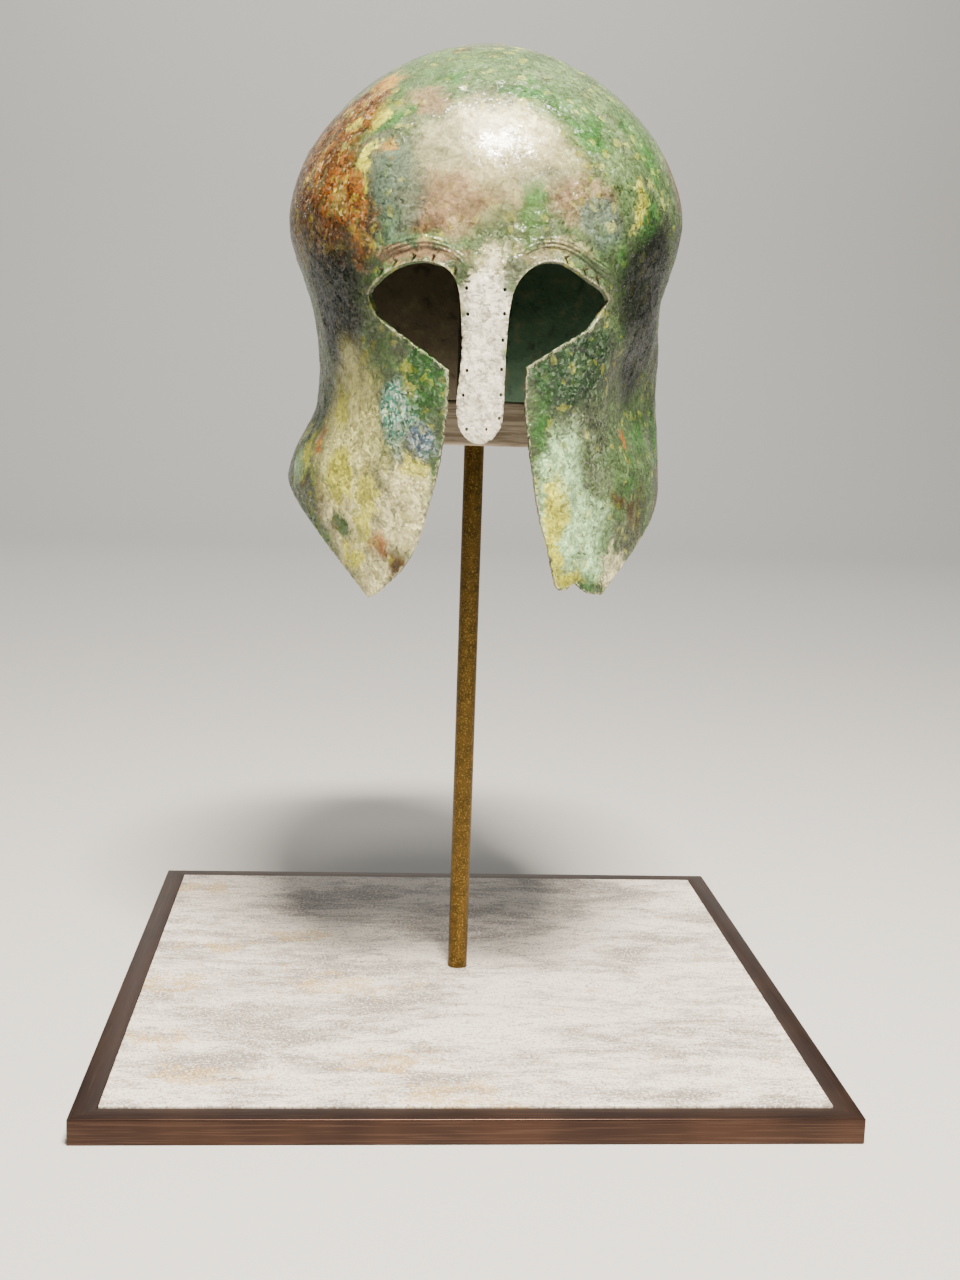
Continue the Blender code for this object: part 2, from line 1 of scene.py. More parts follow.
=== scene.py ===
# %% [markdown]
# # A corinthian helmet on its display stand
# The thing in the photograph is an old bronze helmet, beaten from one sheet, green and brown from
# two and a half thousand years in the ground. It stands on a brass rod over a square stone slab in
# a dark metal tray. This lesson takes the plain solids of the part as a frame, and dresses each
# one: first its shape, in edit mode and with modifiers, and then its finish, with shader nodes.

# %% Load the frame
import math

import bmesh
import bpy
import numpy as np
from mathutils import Matrix, Vector, noise
from mathutils.bvhtree import BVHTree
from mathutils.kdtree import KDTree


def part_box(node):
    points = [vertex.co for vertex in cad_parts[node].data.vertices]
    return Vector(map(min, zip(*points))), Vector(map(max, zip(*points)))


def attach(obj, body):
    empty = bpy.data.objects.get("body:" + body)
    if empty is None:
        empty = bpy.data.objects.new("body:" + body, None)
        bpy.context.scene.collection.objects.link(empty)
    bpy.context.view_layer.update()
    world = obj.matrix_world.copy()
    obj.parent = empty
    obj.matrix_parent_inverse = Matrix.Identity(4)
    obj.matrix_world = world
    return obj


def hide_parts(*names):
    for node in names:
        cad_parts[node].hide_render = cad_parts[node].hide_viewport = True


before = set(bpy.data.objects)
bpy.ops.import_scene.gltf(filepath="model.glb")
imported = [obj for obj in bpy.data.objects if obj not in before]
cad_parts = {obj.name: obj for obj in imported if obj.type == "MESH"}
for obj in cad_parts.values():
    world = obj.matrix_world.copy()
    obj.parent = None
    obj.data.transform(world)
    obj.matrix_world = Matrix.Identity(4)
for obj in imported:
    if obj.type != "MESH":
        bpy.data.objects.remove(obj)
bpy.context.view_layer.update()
MM = 0.001
print("nodes:", ", ".join(sorted(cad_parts)))

# %% [markdown]
# ## The camera
# The camera stands where the photograph was taken from. Its place was worked out from the four
# corners of the square base, which the photograph shows whole. It looks a little down and is
# rolled by two degrees. It comes first, because the stains on the bronze are placed by looking
# through it.

# %% Place the camera
PHOTO_WIDTH = 960
PHOTO_HEIGHT = 1280
FOCAL_PIXELS = 1567.0
CAMERA_PLACE = Vector((-0.0532, -0.8144, 0.327))
LOOK_DOWN = math.radians(9.14)
LOOK_RIGHT = math.radians(4.36)
ROLL = 0.0341
SENSOR_WIDTH = 36.0

forward = Vector((
    math.sin(LOOK_RIGHT) * math.cos(LOOK_DOWN),
    math.cos(LOOK_RIGHT) * math.cos(LOOK_DOWN),
    -math.sin(LOOK_DOWN),
))
level_right = Vector((math.cos(LOOK_RIGHT), -math.sin(LOOK_RIGHT), 0.0))
level_up = level_right.cross(forward)
camera_right = math.cos(ROLL) * level_right + math.sin(ROLL) * level_up
camera_up = math.cos(ROLL) * level_up - math.sin(ROLL) * level_right

lens = bpy.data.cameras.new("photo_camera")
lens.sensor_fit = "AUTO"
lens.sensor_width = SENSOR_WIDTH
lens.lens = SENSOR_WIDTH * FOCAL_PIXELS / PHOTO_HEIGHT
lens.clip_start = 0.01
camera = bpy.data.objects.new("photo_camera", lens)
bpy.context.scene.collection.objects.link(camera)
turn = Matrix((camera_right, camera_up, -forward)).transposed()
camera.matrix_world = Matrix.Translation(CAMERA_PLACE) @ turn.to_4x4()
bpy.context.scene.camera = camera
print("lens:", round(lens.lens, 2), "mm")


def sight(across, down):
    """The direction from the camera through a pixel of the photograph."""
    right = (across - PHOTO_WIDTH / 2) / FOCAL_PIXELS
    up = (PHOTO_HEIGHT / 2 - down) / FOCAL_PIXELS
    return forward + right * camera_right + up * camera_up


# %% [markdown]
# ## Small helpers
# Blender's operators act on whatever is selected, so each step first makes one piece the only
# selected one. A finished piece has its place in its mesh, and its object at the origin, as the
# frame's own nodes have. Lengths are in metres where nothing else is said.

# %% Helpers for modelling
def take(piece):
    """Makes one piece the only selected one, and the active one."""
    bpy.ops.object.select_all(action="DESELECT")
    piece.select_set(True)
    bpy.context.view_layer.objects.active = piece


def switch(mode):
    """Goes to edit mode, or back to object mode."""
    bpy.ops.object.mode_set(mode=mode)


def smooth_sides(degrees=35):
    """Shades the active piece smooth, up to edges sharper than the given angle."""
    bpy.ops.object.shade_smooth_by_angle(angle=math.radians(degrees))


def add_modifier(piece, name, kind, **settings):
    """Adds a modifier with its settings."""
    modifier = piece.modifiers.new(name, kind)
    for key, value in settings.items():
        setattr(modifier, key, value)


def apply_all(piece):
    """Applies the piece's modifiers, in their order."""
    take(piece)
    for modifier in list(piece.modifiers):
        bpy.ops.object.modifier_apply(modifier=modifier.name)


def settle(piece, name):
    """Names the piece and puts its place, turn and scale into its mesh."""
    piece.name = name
    piece.data.name = name
    take(piece)
    bpy.ops.object.transform_apply(location=True, rotation=True, scale=True)
    return piece


def select_faces(piece, wanted):
    """In edit mode, selects the faces for which wanted says yes."""
    bpy.ops.mesh.select_mode(type="FACE")
    bpy.ops.mesh.select_all(action="DESELECT")
    mesh = bmesh.from_edit_mesh(piece.data)
    for face in mesh.faces:
        face.select_set(bool(wanted(face)))
    bmesh.update_edit_mesh(piece.data)


def extrude(*move):
    """In edit mode, draws the selection out by a move along each axis."""
    bpy.ops.mesh.extrude_region_move(TRANSFORM_OT_translate={"value": move})


def cut_whole(place, normal):
    """In edit mode, cuts the whole mesh along a plane, and leaves the cut selected."""
    bpy.ops.mesh.select_all(action="SELECT")
    bpy.ops.mesh.bisect(plane_co=place, plane_no=normal)


def read_rows(items, key):
    """One vector of each of a mesh's items, as the rows of an array."""
    rows = np.empty(len(items) * 3)
    items.foreach_get(key, rows)
    return rows.reshape(-1, 3)


def vertex_places(piece):
    return read_rows(piece.data.vertices, "co")


def vertex_normals(piece):
    return read_rows(piece.data.vertex_normals, "vector")


def face_middles(piece):
    return read_rows(piece.data.polygons, "center")


def put_vertices(piece, places):
    piece.data.vertices.foreach_set("co", places.ravel())
    piece.data.update()


def weigh_vertices(piece, name, weights):
    """Makes a vertex group with one weight for each vertex."""
    group = piece.vertex_groups.new(name=name)
    for index, weight in enumerate(weights):
        group.add([index], float(weight), "REPLACE")


def store_shares(piece, name, shares):
    """Stores one number for each vertex, which the shaders can read."""
    attribute = piece.data.attributes.new(name, "FLOAT", "POINT")
    attribute.data.foreach_set("value", shares.astype(np.float32))


def box_of(node):
    """The low corner, the high corner, the middle and the size of a node's box."""
    low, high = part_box(node)
    return low, high, (low + high) / 2, high - low


print("helpers ready")

# %% [markdown]
# ## The helmet's skin
# The helmet is one sheet of bronze. The frame holds it as a closed, faceted shell. A smooth sheet
# could be drawn again from curves, but the shell already has every edge in the right place, so its
# outer skin is taken off, smoothed with a Subdivision Surface, worked on, and given its wall again
# at the end. The outer skin is found from the crown: everything that can be reached without
# crossing a sharp edge.

# %% Take the outer skin off the shell
cad_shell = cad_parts["helmet_shell"]
skin = bpy.data.objects.new("helmet_bronze", cad_shell.data.copy())
bpy.context.scene.collection.objects.link(skin)
skin.data.name = "helmet_bronze"
skin.data.materials.clear()
take(skin)
switch("EDIT")
bpy.ops.mesh.select_all(action="SELECT")
bpy.ops.mesh.customdata_custom_splitnormals_clear()
bpy.ops.mesh.remove_doubles(threshold=0.00001)
bpy.ops.mesh.select_mode(type="FACE")
bpy.ops.mesh.select_all(action="DESELECT")
edit = bmesh.from_edit_mesh(skin.data)
crown = max(edit.faces, key=lambda face: face.calc_center_median().z)
crown.select_set(True)
edit.faces.active = crown
bmesh.update_edit_mesh(skin.data)
bpy.ops.mesh.faces_select_linked_flat(sharpness=math.radians(55))
bpy.ops.mesh.select_all(action="INVERT")
bpy.ops.mesh.delete(type="FACE")
bpy.ops.mesh.select_all(action="SELECT")
bpy.ops.mesh.tris_convert_to_quads(
    face_threshold=math.radians(35), shape_threshold=math.radians(50)
)
switch("OBJECT")
print("outer skin:", len(skin.data.polygons), "faces")

# %% [markdown]
# Before the skin is changed, it serves as a screen: a ray from the camera through a pixel of the
# photograph meets it at the place on the bronze that the pixel shows.

# %% Find places on the bronze through the camera
HELMET_AWAY = 0.75
photo_screen = BVHTree.FromObject(skin, bpy.context.evaluated_depsgraph_get())


def seen_at(across, down):
    """The place on the bronze at a pixel of the photograph, or the nearest one."""
    direction = sight(across, down).normalized()
    place = photo_screen.ray_cast(CAMERA_PLACE, direction)[0]
    if place is None:
        place = photo_screen.find_nearest(CAMERA_PLACE + HELMET_AWAY * direction)[0]
    return place


print("middle of the forehead:", [round(c, 3) for c in seen_at(490, 190)])

# %% [markdown]
# Smoothing twice turns the facets into an even sheet. Brows, nasal and edges need finer faces, for
# the thin ridges and the worn, nibbled rim, so only those are subdivided again, and a narrow strip
# along the cheeks' rim once more.

# %% Smooth the skin and refine its face
add_modifier(
    skin, "smooth", "SUBSURF", levels=2, render_levels=2, boundary_smooth="PRESERVE_CORNERS"
)
apply_all(skin)


def edge_loops(piece):
    """The mesh's border as lists of vertex numbers, the longest loop first."""
    mesh = bmesh.new()
    mesh.from_mesh(piece.data)
    following = {}
    for edge in mesh.edges:
        if edge.is_boundary:
            loop = edge.link_loops[0]
            following[loop.vert.index] = loop.link_loop_next.vert.index
    mesh.free()
    loops = []
    while following:
        start = next(iter(following))
        loop = [start]
        step = following.pop(start)
        while step != start:
            loop.append(step)
            step = following.pop(step)
        loops.append(loop)
    return sorted(loops, key=len, reverse=True)


def distance_to(points, line):
    """Distance from each point to the nearest of a closely spaced line's points."""
    tree = KDTree(len(line))
    for number, place in enumerate(line):
        tree.insert(place, number)
    tree.balance()
    return np.array([tree.find(point)[2] for point in points])


def divide_faces(piece, chosen):
    """Divides the chosen faces in four."""
    take(piece)
    switch("EDIT")
    select_faces(piece, lambda face: chosen[face.index])
    bpy.ops.mesh.subdivide(number_cuts=1, smoothness=0.0)
    switch("OBJECT")


EYE_LEVEL = 0.365
BROW_FOOT = 0.3655
BROW_MIDDLE = 0.003
BROW_REACH = 0.0605
CHEEK_TOP = 0.352
FACE_BACK = -0.02
NASAL_MIDDLE = 0.001
NASAL_HALF_WIDTH = 0.016
NASAL_ROOT = 0.375
BROW_BAND = 0.0135
RIM_BAND = 0.0035
RIM_STRIP = 0.0012
even_count = len(skin.data.polygons)
rim = vertex_places(skin)[edge_loops(skin)[0]]
brow_edge = rim[(rim[:, 2] > BROW_FOOT) & (np.abs(rim[:, 0] - BROW_MIDDLE) < BROW_REACH)]
middles = face_middles(skin)
on_face = middles[:, 1] < FACE_BACK
on_nasal = np.abs(middles[:, 0] - NASAL_MIDDLE) < NASAL_HALF_WIDTH
fine = distance_to(middles, brow_edge) < BROW_BAND
fine |= on_face & (distance_to(middles, rim) < RIM_BAND)
fine |= on_face & on_nasal & (middles[:, 2] < NASAL_ROOT)
divide_faces(skin, fine)
fine_count = len(skin.data.polygons)
middles = face_middles(skin)
rim = vertex_places(skin)[edge_loops(skin)[0]]
strip = (distance_to(middles, rim) < RIM_STRIP) & (middles[:, 1] < FACE_BACK)
divide_faces(skin, strip & (middles[:, 2] < CHEEK_TOP))
print("skin faces:", even_count, "even,", fine_count, "finer,", len(skin.data.polygons), "in all")

# %% [markdown]
# ## Brows, rim and dents
# Three thin ridges run side by side over each brow, chased into the sheet as an ornament. The
# edges are worn: little nicks every few millimetres, where the lining was once sewn on and the
# thin metal broke. The whole sheet waves slightly from beating and burial. Ridges and nicks follow
# the edge, so they are worked out from each vertex's distance to it; the waves come from Displace
# modifiers with procedural textures.

# %% Chase the ridges over the brows
RIDGE_MIDDLE = 0.0085
RIDGE_SPACING = 0.0017
RIDGE_HALF_WIDTH = 0.00065
RIDGE_HEIGHT = 0.00034
RIDGE_OUTER_END = BROW_REACH - 0.004
RIDGE_INNER_END = 0.010
RIDGE_FADE = 0.006
RIDGES_PART_AT = 0.002
places = vertex_places(skin)
normals = vertex_normals(skin)
to_brow = distance_to(places, brow_edge)
outward = RIDGE_OUTER_END - np.abs(places[:, 0] - BROW_MIDDLE)
inward = np.abs(places[:, 0] - RIDGES_PART_AT) - RIDGE_INNER_END
ends = np.clip(outward / RIDGE_FADE, 0, 1) * np.clip(inward / RIDGE_FADE, 0, 1)
ridge = np.zeros(len(places))
for line in (-1, 0, 1):
    away = np.abs(to_brow - RIDGE_MIDDLE - line * RIDGE_SPACING) / RIDGE_HALF_WIDTH
    ridge = np.maximum(ridge, np.cos(np.clip(away, 0, 1) * math.pi / 2) ** 2)
ridge *= ends * (places[:, 2] > EYE_LEVEL)
wear = np.array([noise.noise(Vector(place) * 140.0) for place in places])
ridge *= np.clip(0.75 + 1.1 * wear, 0.25, 1.0)
put_vertices(skin, places + normals * (ridge * RIDGE_HEIGHT)[:, None])
print("ridged vertices:", int((ridge > 0.1).sum()))

# %% Wear the rim
NICK_SPACING = 0.0052
NICK_HALF_WIDTH = 0.00075
NICK_DEPTH = 0.0014
NIBBLE = 0.0007
border = edge_loops(skin)[0]
places = vertex_places(skin)
neighbours = {index: [] for index in border}
for edge in skin.data.edges:
    for end, other in (tuple(edge.vertices), tuple(edge.vertices)[::-1]):
        if end in neighbours:
            neighbours[end].append(other)
worn = places.copy()
nick_places = []
travelled = 0.0
on_border = set(border)
for index, following in zip(border, border[1:] + border[:1]):
    place = Vector(places[index])
    inner = [Vector(places[other]) for other in neighbours[index] if other not in on_border]
    travelled += (Vector(places[following]) - place).length
    if not inner:
        continue
    inward = sum(inner, Vector()) / len(inner) - place
    if inward.length < 1e-6:
        continue
    rough = noise.noise(place * 260.0) + 0.5 * noise.noise(place * 620.0)
    nibble = max(0.0, rough) * NIBBLE
    phase = (travelled / NICK_SPACING + 0.7 * noise.noise(place * 55.0)) % 1.0
    nick = max(0.0, 1 - abs(phase - 0.5) * NICK_SPACING / NICK_HALF_WIDTH)
    chance = 0.5 + 0.9 * noise.noise(place * 90.0)
    is_cheek = place.y < FACE_BACK and place.z < CHEEK_TOP
    depth = nibble * (1.0 if is_cheek else 0.45)
    if is_cheek:
        depth += nick * max(0.0, chance) * NICK_DEPTH
        if nick > 0.6 and chance > 0.45:
            nick_places.append(tuple(place))
    worn[index] = place + inward.normalized() * min(depth, 0.8 * inward.length)
put_vertices(skin, worn)
print("rim vertices:", len(border))

# %% Wave the sheet and raise the crust
def procedural(name, kind, size, **settings):
    texture = bpy.data.textures.new(name, type=kind)
    texture.noise_scale = size
    for key, value in settings.items():
        setattr(texture, key, value)
    return texture


def displace(piece, texture, height, group=""):
    """Moves the mesh in and out by a texture, over height in all."""
    add_modifier(
        piece, texture.name, "DISPLACE", texture=texture, texture_coords="LOCAL",
        direction="NORMAL", mid_level=0.5, strength=height, vertex_group=group
    )


CALM_BAND = 0.012
CALM_BROW_LEVEL = 0.385
CALM_BROW_SHARE = 0.45
places = vertex_places(skin)
to_rim = distance_to(places, places[edge_loops(skin)[0]])
over_brows = (places[:, 2] > CALM_BROW_LEVEL) & (places[:, 1] < 0)
calm = np.clip(to_rim / CALM_BAND, 0.1, 1.0) * np.where(over_brows, CALM_BROW_SHARE, 1.0)
weigh_vertices(skin, "calm", calm)
displace(skin, procedural("waves", "CLOUDS", 0.030, noise_depth=1), 0.0018, "calm")
displace(skin, procedural("crust", "CLOUDS", 0.0065, noise_depth=1), 0.0010, "calm")
apply_all(skin)

# Each row is: pixels across and down in the photograph, half width and height in mm.
CRUST_LUMPS = {
    "left corner, upper": (290, 446, 2.6, 2.6),
    "left corner, lower": (289, 458, 2.2, 1.8),
    "left corner, inner": (296, 452, 2.0, 0.8),
    "left cheek flake": (404, 500, 5.0, 0.7),
    "left temple": (352, 262, 3.0, 1.2),
    "left temple, low": (346, 282, 2.5, 1.0),
    "forehead": (470, 190, 6.0, 0.6),
}
places = vertex_places(skin)
normals = vertex_normals(skin)
for across, down, wide, tall in CRUST_LUMPS.values():
    away = np.linalg.norm(places - np.array(seen_at(across, down)), axis=1) / (wide * MM)
    for index in np.nonzero(away < 2.0)[0]:
        knobs = 0.6 + 0.9 * noise.noise(Vector(places[index]) * 420.0)
        places[index] += normals[index] * tall * MM * knobs * math.exp(-away[index] ** 2)
put_vertices(skin, places)
rim = places[edge_loops(skin)[0]]
print("waved and crusted:", len(skin.data.vertices), "vertices")

# %% [markdown]
# ## The wall
# A Solidify modifier gives the sheet its wall inwards: 1.6 mm, and more at the nasal and the brows,
# which were left thick to take a blow. The inner side has its own finish, so it gets the second
# material slot. It is seen only through the openings, so its faces can be fewer. A fine bevel
# rounds the rim, and catches the light there as the worn edge does.

# %% Give the sheet its wall
WALL = 0.0016
THICK_WALL = 0.0026
THICK_BAND = 0.020
NASAL_FRONT = -0.08
NASAL_TOP = 0.37
INNER_FACES_KEPT = 0.62
RIM_ROUNDING = 0.00035
WORN_BAND = 0.0032
NICK_REACH = 0.0009
places = vertex_places(skin)
on_nasal = np.abs(places[:, 0] - NASAL_MIDDLE) < NASAL_HALF_WIDTH
on_nasal &= (places[:, 1] < NASAL_FRONT) & (places[:, 2] < NASAL_TOP)
by_brow = np.clip(1 - distance_to(places, brow_edge) / THICK_BAND, 0, 1)
weigh_vertices(skin, "thick", np.maximum(by_brow, on_nasal))
skin.vertex_groups.new(name="inner")
add_modifier(
    skin, "wall", "SOLIDIFY", thickness=THICK_WALL, offset=-1.0, vertex_group="thick",
    thickness_vertex_group=WALL / THICK_WALL, shell_vertex_group="inner",
    material_offset=1, material_offset_rim=0
)
add_modifier(skin, "thin", "DECIMATE", ratio=INNER_FACES_KEPT, vertex_group="inner")
add_modifier(
    skin, "round_rim", "BEVEL", width=RIM_ROUNDING, segments=2, limit_method="ANGLE",
    angle_limit=math.radians(62)
)
placeholders = [bpy.data.materials.new(side) for side in ("outer", "inner")]
for placeholder in placeholders:
    skin.data.materials.append(placeholder)
apply_all(skin)
bpy.ops.object.shade_smooth()
places = vertex_places(skin)
store_shares(skin, "edge_share", np.clip(1 - distance_to(places, rim) / WORN_BAND, 0, 1))
# This share marks where the rim is darkened at each nick, as painted shade for a broken lining hole.
store_shares(skin, "painted_nick_shade", np.clip(1.4 - distance_to(places, nick_places) / NICK_REACH, 0, 1))
skin.data.calc_loop_triangles()
print("helmet:", len(skin.data.loop_triangles), "triangles")
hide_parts("helmet_shell")
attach(skin, "root")

# %% [markdown]
# ## The pins
# Thin pins stand out of small holes along the brows. Each is a cylinder, drawn out to a blunt point
# and bent a little, and put at the place and in the direction of its pin of the frame. It is a
# fifth shorter than that one, at the outer end, which is worn away.

# %% Make the brow pins
PIN_RADIUS = 0.0006
PIN_SHARE = 0.78
PIN_TAPER = 0.45
PIN_BEND = 0.0003


def pin_axis(node):
    """The middle of a pin of the frame, its outward direction and half its length."""
    places = vertex_places(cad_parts[node])
    middle = places.mean(axis=0)
    direction = np.linalg.svd(places - middle)[2][0]
    if direction @ (middle - np.array((BROW_MIDDLE, 0.0, middle[2]))) < 0:
        direction = -direction
    half = np.abs((places - middle) @ direction).max()
    return Vector(middle), Vector(direction), float(half)


def model_pin(middle, direction, half):
    """One pin: a thin cylinder, drawn out at its end and bent to one side."""
    bpy.ops.mesh.primitive_cylinder_add(
        vertices=10, radius=PIN_RADIUS, depth=2 * half, end_fill_type="TRIFAN"
    )
    pin = bpy.context.object
    switch("EDIT")
    for level, width in ((0.35, 1.12), (0.7, 0.8)):
        cut_whole((0, 0, half * level), (0, 0, 1))
        bpy.ops.transform.resize(value=(width, width, 1.0))
    mesh = bmesh.from_edit_mesh(pin.data)
    for vertex in mesh.verts:
        rise = max(0.0, vertex.co.z / half)
        vertex.co.x *= 1.0 - PIN_TAPER * rise ** 3
        vertex.co.y *= 1.0 - PIN_TAPER * rise ** 3
        vertex.co.x += PIN_BEND * rise ** 2
    bmesh.update_edit_mesh(pin.data)
    switch("OBJECT")
    smooth_sides(40)
    turn = direction.to_track_quat("Z", "Y").to_matrix().to_4x4()
    pin.matrix_world = Matrix.Translation(middle) @ turn
    return pin


pins = []
for number in range(1, 9):
    node_name = f"brow_pin_{number}"
    middle, direction, half = pin_axis(node_name)
    pin = model_pin(middle - (1 - PIN_SHARE) * half * direction, direction, PIN_SHARE * half)
    pin = settle(pin, f"brow_pin_worn_{number}")
    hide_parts(node_name)
    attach(pin, "root")
    pins.append(pin)
print("pins:", len(pins))

# %% [markdown]
# ## The stand
# The rod, the slab in its tray, and the wooden bar behind the mouth are simple shapes, so what
# makes them real is their edges: every arris of the real ones is a little rounded and catches the
# light. Each starts from a primitive with the size of its frame node.

# %% Model the rod and the post
ROD_RADIUS = 0.0052
ROD_CUTS = 24
POST_CHAMFER = 0.0006
rod_low, rod_high, rod_middle, rod_size = box_of("stand_rod")
bpy.ops.mesh.primitive_cylinder_add(
    vertices=64, radius=ROD_RADIUS, depth=rod_size.z, location=rod_middle
)
rod = settle(bpy.context.object, "brass_rod")
add_modifier(rod, "ends", "BEVEL", width=0.0004, segments=3, limit_method="ANGLE")
apply_all(rod)
switch("EDIT")
for share in np.linspace(0.04, 0.96, ROD_CUTS):
    cut_whole((0, 0, rod_low.z + float(share) * rod_size.z), (0, 0, 1))
switch("OBJECT")
smooth_sides()
displace(rod, procedural("rod_waver", "CLOUDS", 0.020, noise_depth=1), 0.00012)
apply_all(rod)
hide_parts("stand_rod")
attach(rod, "root")

post_low, post_high, post_middle, post_size = box_of("crown_post")
post_radius = post_size.x / 2
dome_foot = post_high.z - post_radius
bpy.ops.mesh.primitive_uv_sphere_add(
    segments=48, ring_count=24, radius=post_radius,
    location=(post_middle.x, post_middle.y, dome_foot)
)
post = settle(bpy.context.object, "crown_peg")
switch("EDIT")
select_faces(post, lambda face: face.calc_center_median().z < dome_foot)
bpy.ops.mesh.delete(type="FACE")
bpy.ops.mesh.select_mode(type="EDGE")
bpy.ops.mesh.select_all(action="SELECT")
bpy.ops.mesh.region_to_loop()
for drop in (post_low.z + POST_CHAMFER - dome_foot, -POST_CHAMFER):
    extrude(0, 0, drop)
bpy.ops.transform.resize(
    value=(0.93, 0.93, 1.0), center_override=(post_middle.x, post_middle.y, post_low.z)
)
bpy.ops.mesh.fill_grid()
bpy.ops.mesh.select_all(action="SELECT")
bpy.ops.mesh.normals_make_consistent(inside=False)
switch("OBJECT")
smooth_sides()
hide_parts("crown_post")
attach(post, "root")
print("rod and post:", len(rod.data.polygons), len(post.data.polygons), "faces")

# %% Model the slab and the tray
CLEARANCE = 0.0003
DRILL_SPARE = 0.01
TRAY_BORDER = 0.0112
TRAY_RECESS = 0.0075


def cut_hole(piece, centre, radius, bottom, top):
    """Cuts an upright round hole through or into a piece."""
    bpy.ops.mesh.primitive_cylinder_add(
        vertices=48, radius=radius, depth=top - bottom,
        location=(centre.x, centre.y, (top + bottom) / 2)
    )
    drill = bpy.context.object
    add_modifier(
        piece, "hole", "BOOLEAN", operation="DIFFERENCE", solver="EXACT", object=drill
    )
    apply_all(piece)
    bpy.data.objects.remove(drill, do_unlink=True)


def start_block(node, name):
    """A plain box with the frame node's size."""
    middle, size = box_of(node)[2:]
    bpy.ops.mesh.primitive_cube_add(size=1.0, location=middle)
    bpy.context.object.scale = size
    return settle(bpy.context.object, name)


def add_block(node, name, arris, cuts):
    """A box with the frame node's size, its edges rounded and its faces divided."""
    low, high = box_of(node)[:2]
    block = start_block(node, name)
    add_modifier(block, "arris", "BEVEL", width=arris, segments=3)
    apply_all(block)
    switch("EDIT")
    for axis in range(3):
        normal = Vector([1.0 if side == axis else 0.0 for side in range(3)])
        for step in range(1, cuts[axis]):
            cut_whole(low + (high - low) * (step / cuts[axis]), normal)
    switch("OBJECT")
    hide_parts(node)
    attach(block, "root")
    return block


slab_low, slab_high = box_of("base_slab")[:2]
slab = add_block("base_slab", "stone_slab", 0.0007, (72, 72, 1))
displace(slab, procedural("stone_face", "CLOUDS", 0.006, noise_depth=2), 0.00025)
apply_all(slab)
drill_radius = ROD_RADIUS + CLEARANCE
cut_hole(slab, rod_middle, drill_radius, slab_low.z - DRILL_SPARE, slab_high.z + DRILL_SPARE)
smooth_sides()

tray_high = box_of("base_tray")[1]
tray = start_block("base_tray", "metal_tray")
switch("EDIT")
select_faces(tray, lambda face: face.normal.z > 0.9)
bpy.ops.mesh.inset(thickness=TRAY_BORDER, depth=0.0)
extrude(0, 0, -TRAY_RECESS)
switch("OBJECT")
add_modifier(tray, "arris", "BEVEL", width=0.0006, segments=3, limit_method="ANGLE")
apply_all(tray)
cut_hole(tray, rod_middle, drill_radius, rod_low.z - CLEARANCE, tray_high.z + DRILL_SPARE)
smooth_sides()
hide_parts("base_tray")
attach(tray, "root")
print("slab and tray:", len(slab.data.polygons), len(tray.data.polygons), "faces")

# %% Model the wooden bar
bar_low, bar_high = box_of("support_block")[:2]
bar = add_block("support_block", "wooden_bar", 0.0014, (48, 12, 9))
checks = procedural("bar_checks", "WOOD", 0.004, wood_type="BANDNOISE", turbulence=3.0)
displace(bar, checks, 0.0005)
apply_all(bar)
cut_hole(bar, rod_middle, drill_radius, bar_low.z - DRILL_SPARE, rod_high.z + CLEARANCE)
drill_radius = post_radius + CLEARANCE
cut_hole(bar, post_middle, drill_radius, post_low.z - CLEARANCE, bar_high.z + DRILL_SPARE)
smooth_sides()
print("bar:", len(bar.data.polygons), "faces")

# %% [markdown]
# ## Helpers for finishes
# A finish is a network of shader nodes. One small function adds a node with its settings and its
# inputs. Colours are written as on a screen, in hex, and turned to the linear values that shaders
# work in. Patterns are sized in millimetres: a scale of 1000 / size makes one pattern cell that
# many millimetres wide, because the coordinates are in metres.

# %% Node and colour helpers
def linear(code):
    """A hex colour as linear red, green, blue and alpha."""
    parts = [int(code[place:place + 2], 16) / 255 for place in (1, 3, 5)]
    turned = [c / 12.92 if c <= 0.04045 else ((c + 0.055) / 1.055) ** 2.4 for c in parts]
    return (*turned, 1.0)


def is_socket(value):
    return isinstance(value, bpy.types.NodeSocket)


def plug(node, inputs):
    """Fills a node's inputs, each with a number, a colour or another node's output."""
    for name, value in inputs.items():
        if is_socket(value):
            node.id_data.links.new(value, node.inputs[name])
        else:
            node.inputs[name].default_value = value


def add_node(kind, inputs, tree=None, **settings):
    """Adds a node to the given tree, or to the one that its inputs come from."""
    tree = tree or next(value.id_data for value in inputs.values() if is_socket(value))
    made = tree.nodes.new("ShaderNode" + kind)
    for name, value in settings.items():
        setattr(made, name, value)
    plug(made, inputs)
    return made


def new_finish(name):
    """A material, its shader and its Object coordinates."""
    finish = bpy.data.materials.new(name)
    finish.use_nodes = True
    place = add_node("TexCoord", {}, finish.node_tree).outputs["Object"]
    return finish, finish.node_tree.nodes["Principled BSDF"], place


def mottle(place, size_mm, detail=3.0, rough=0.55, distortion=0.0):
    """A noise with cells of about size_mm, from 0 to 1."""
    inputs = {"Vector": place, "Scale": 1000.0 / size_mm, "Detail": detail, "Roughness": rough}
    return add_node("TexNoise", inputs | {"Distortion": distortion}).outputs[0]


def between(value, low, high, to_low=0.0, to_high=1.0):
    """Eases from to_low to to_high while the value goes from low to high."""
    inputs = {"Value": value, "From Min": low, "From Max": high, "To Min": to_low, "To Max": to_high}
    return add_node("MapRange", inputs, interpolation_type="SMOOTHSTEP").outputs[0]


def blend_colours(share, first, second):
    """Mixes two colours; each is a hex code or a socket."""
    first, second = (linear(c) if isinstance(c, str) else c for c in (first, second))
    inputs = {0: share, 6: first, 7: second}
    return add_node("Mix", inputs, data_type="RGBA").outputs[2]


def tint(colour, pattern, low, high, strength, code):
    """Lays a second colour on while the pattern goes from low to high."""
    return blend_colours(between(pattern, low, high, 0.0, strength), colour, code)


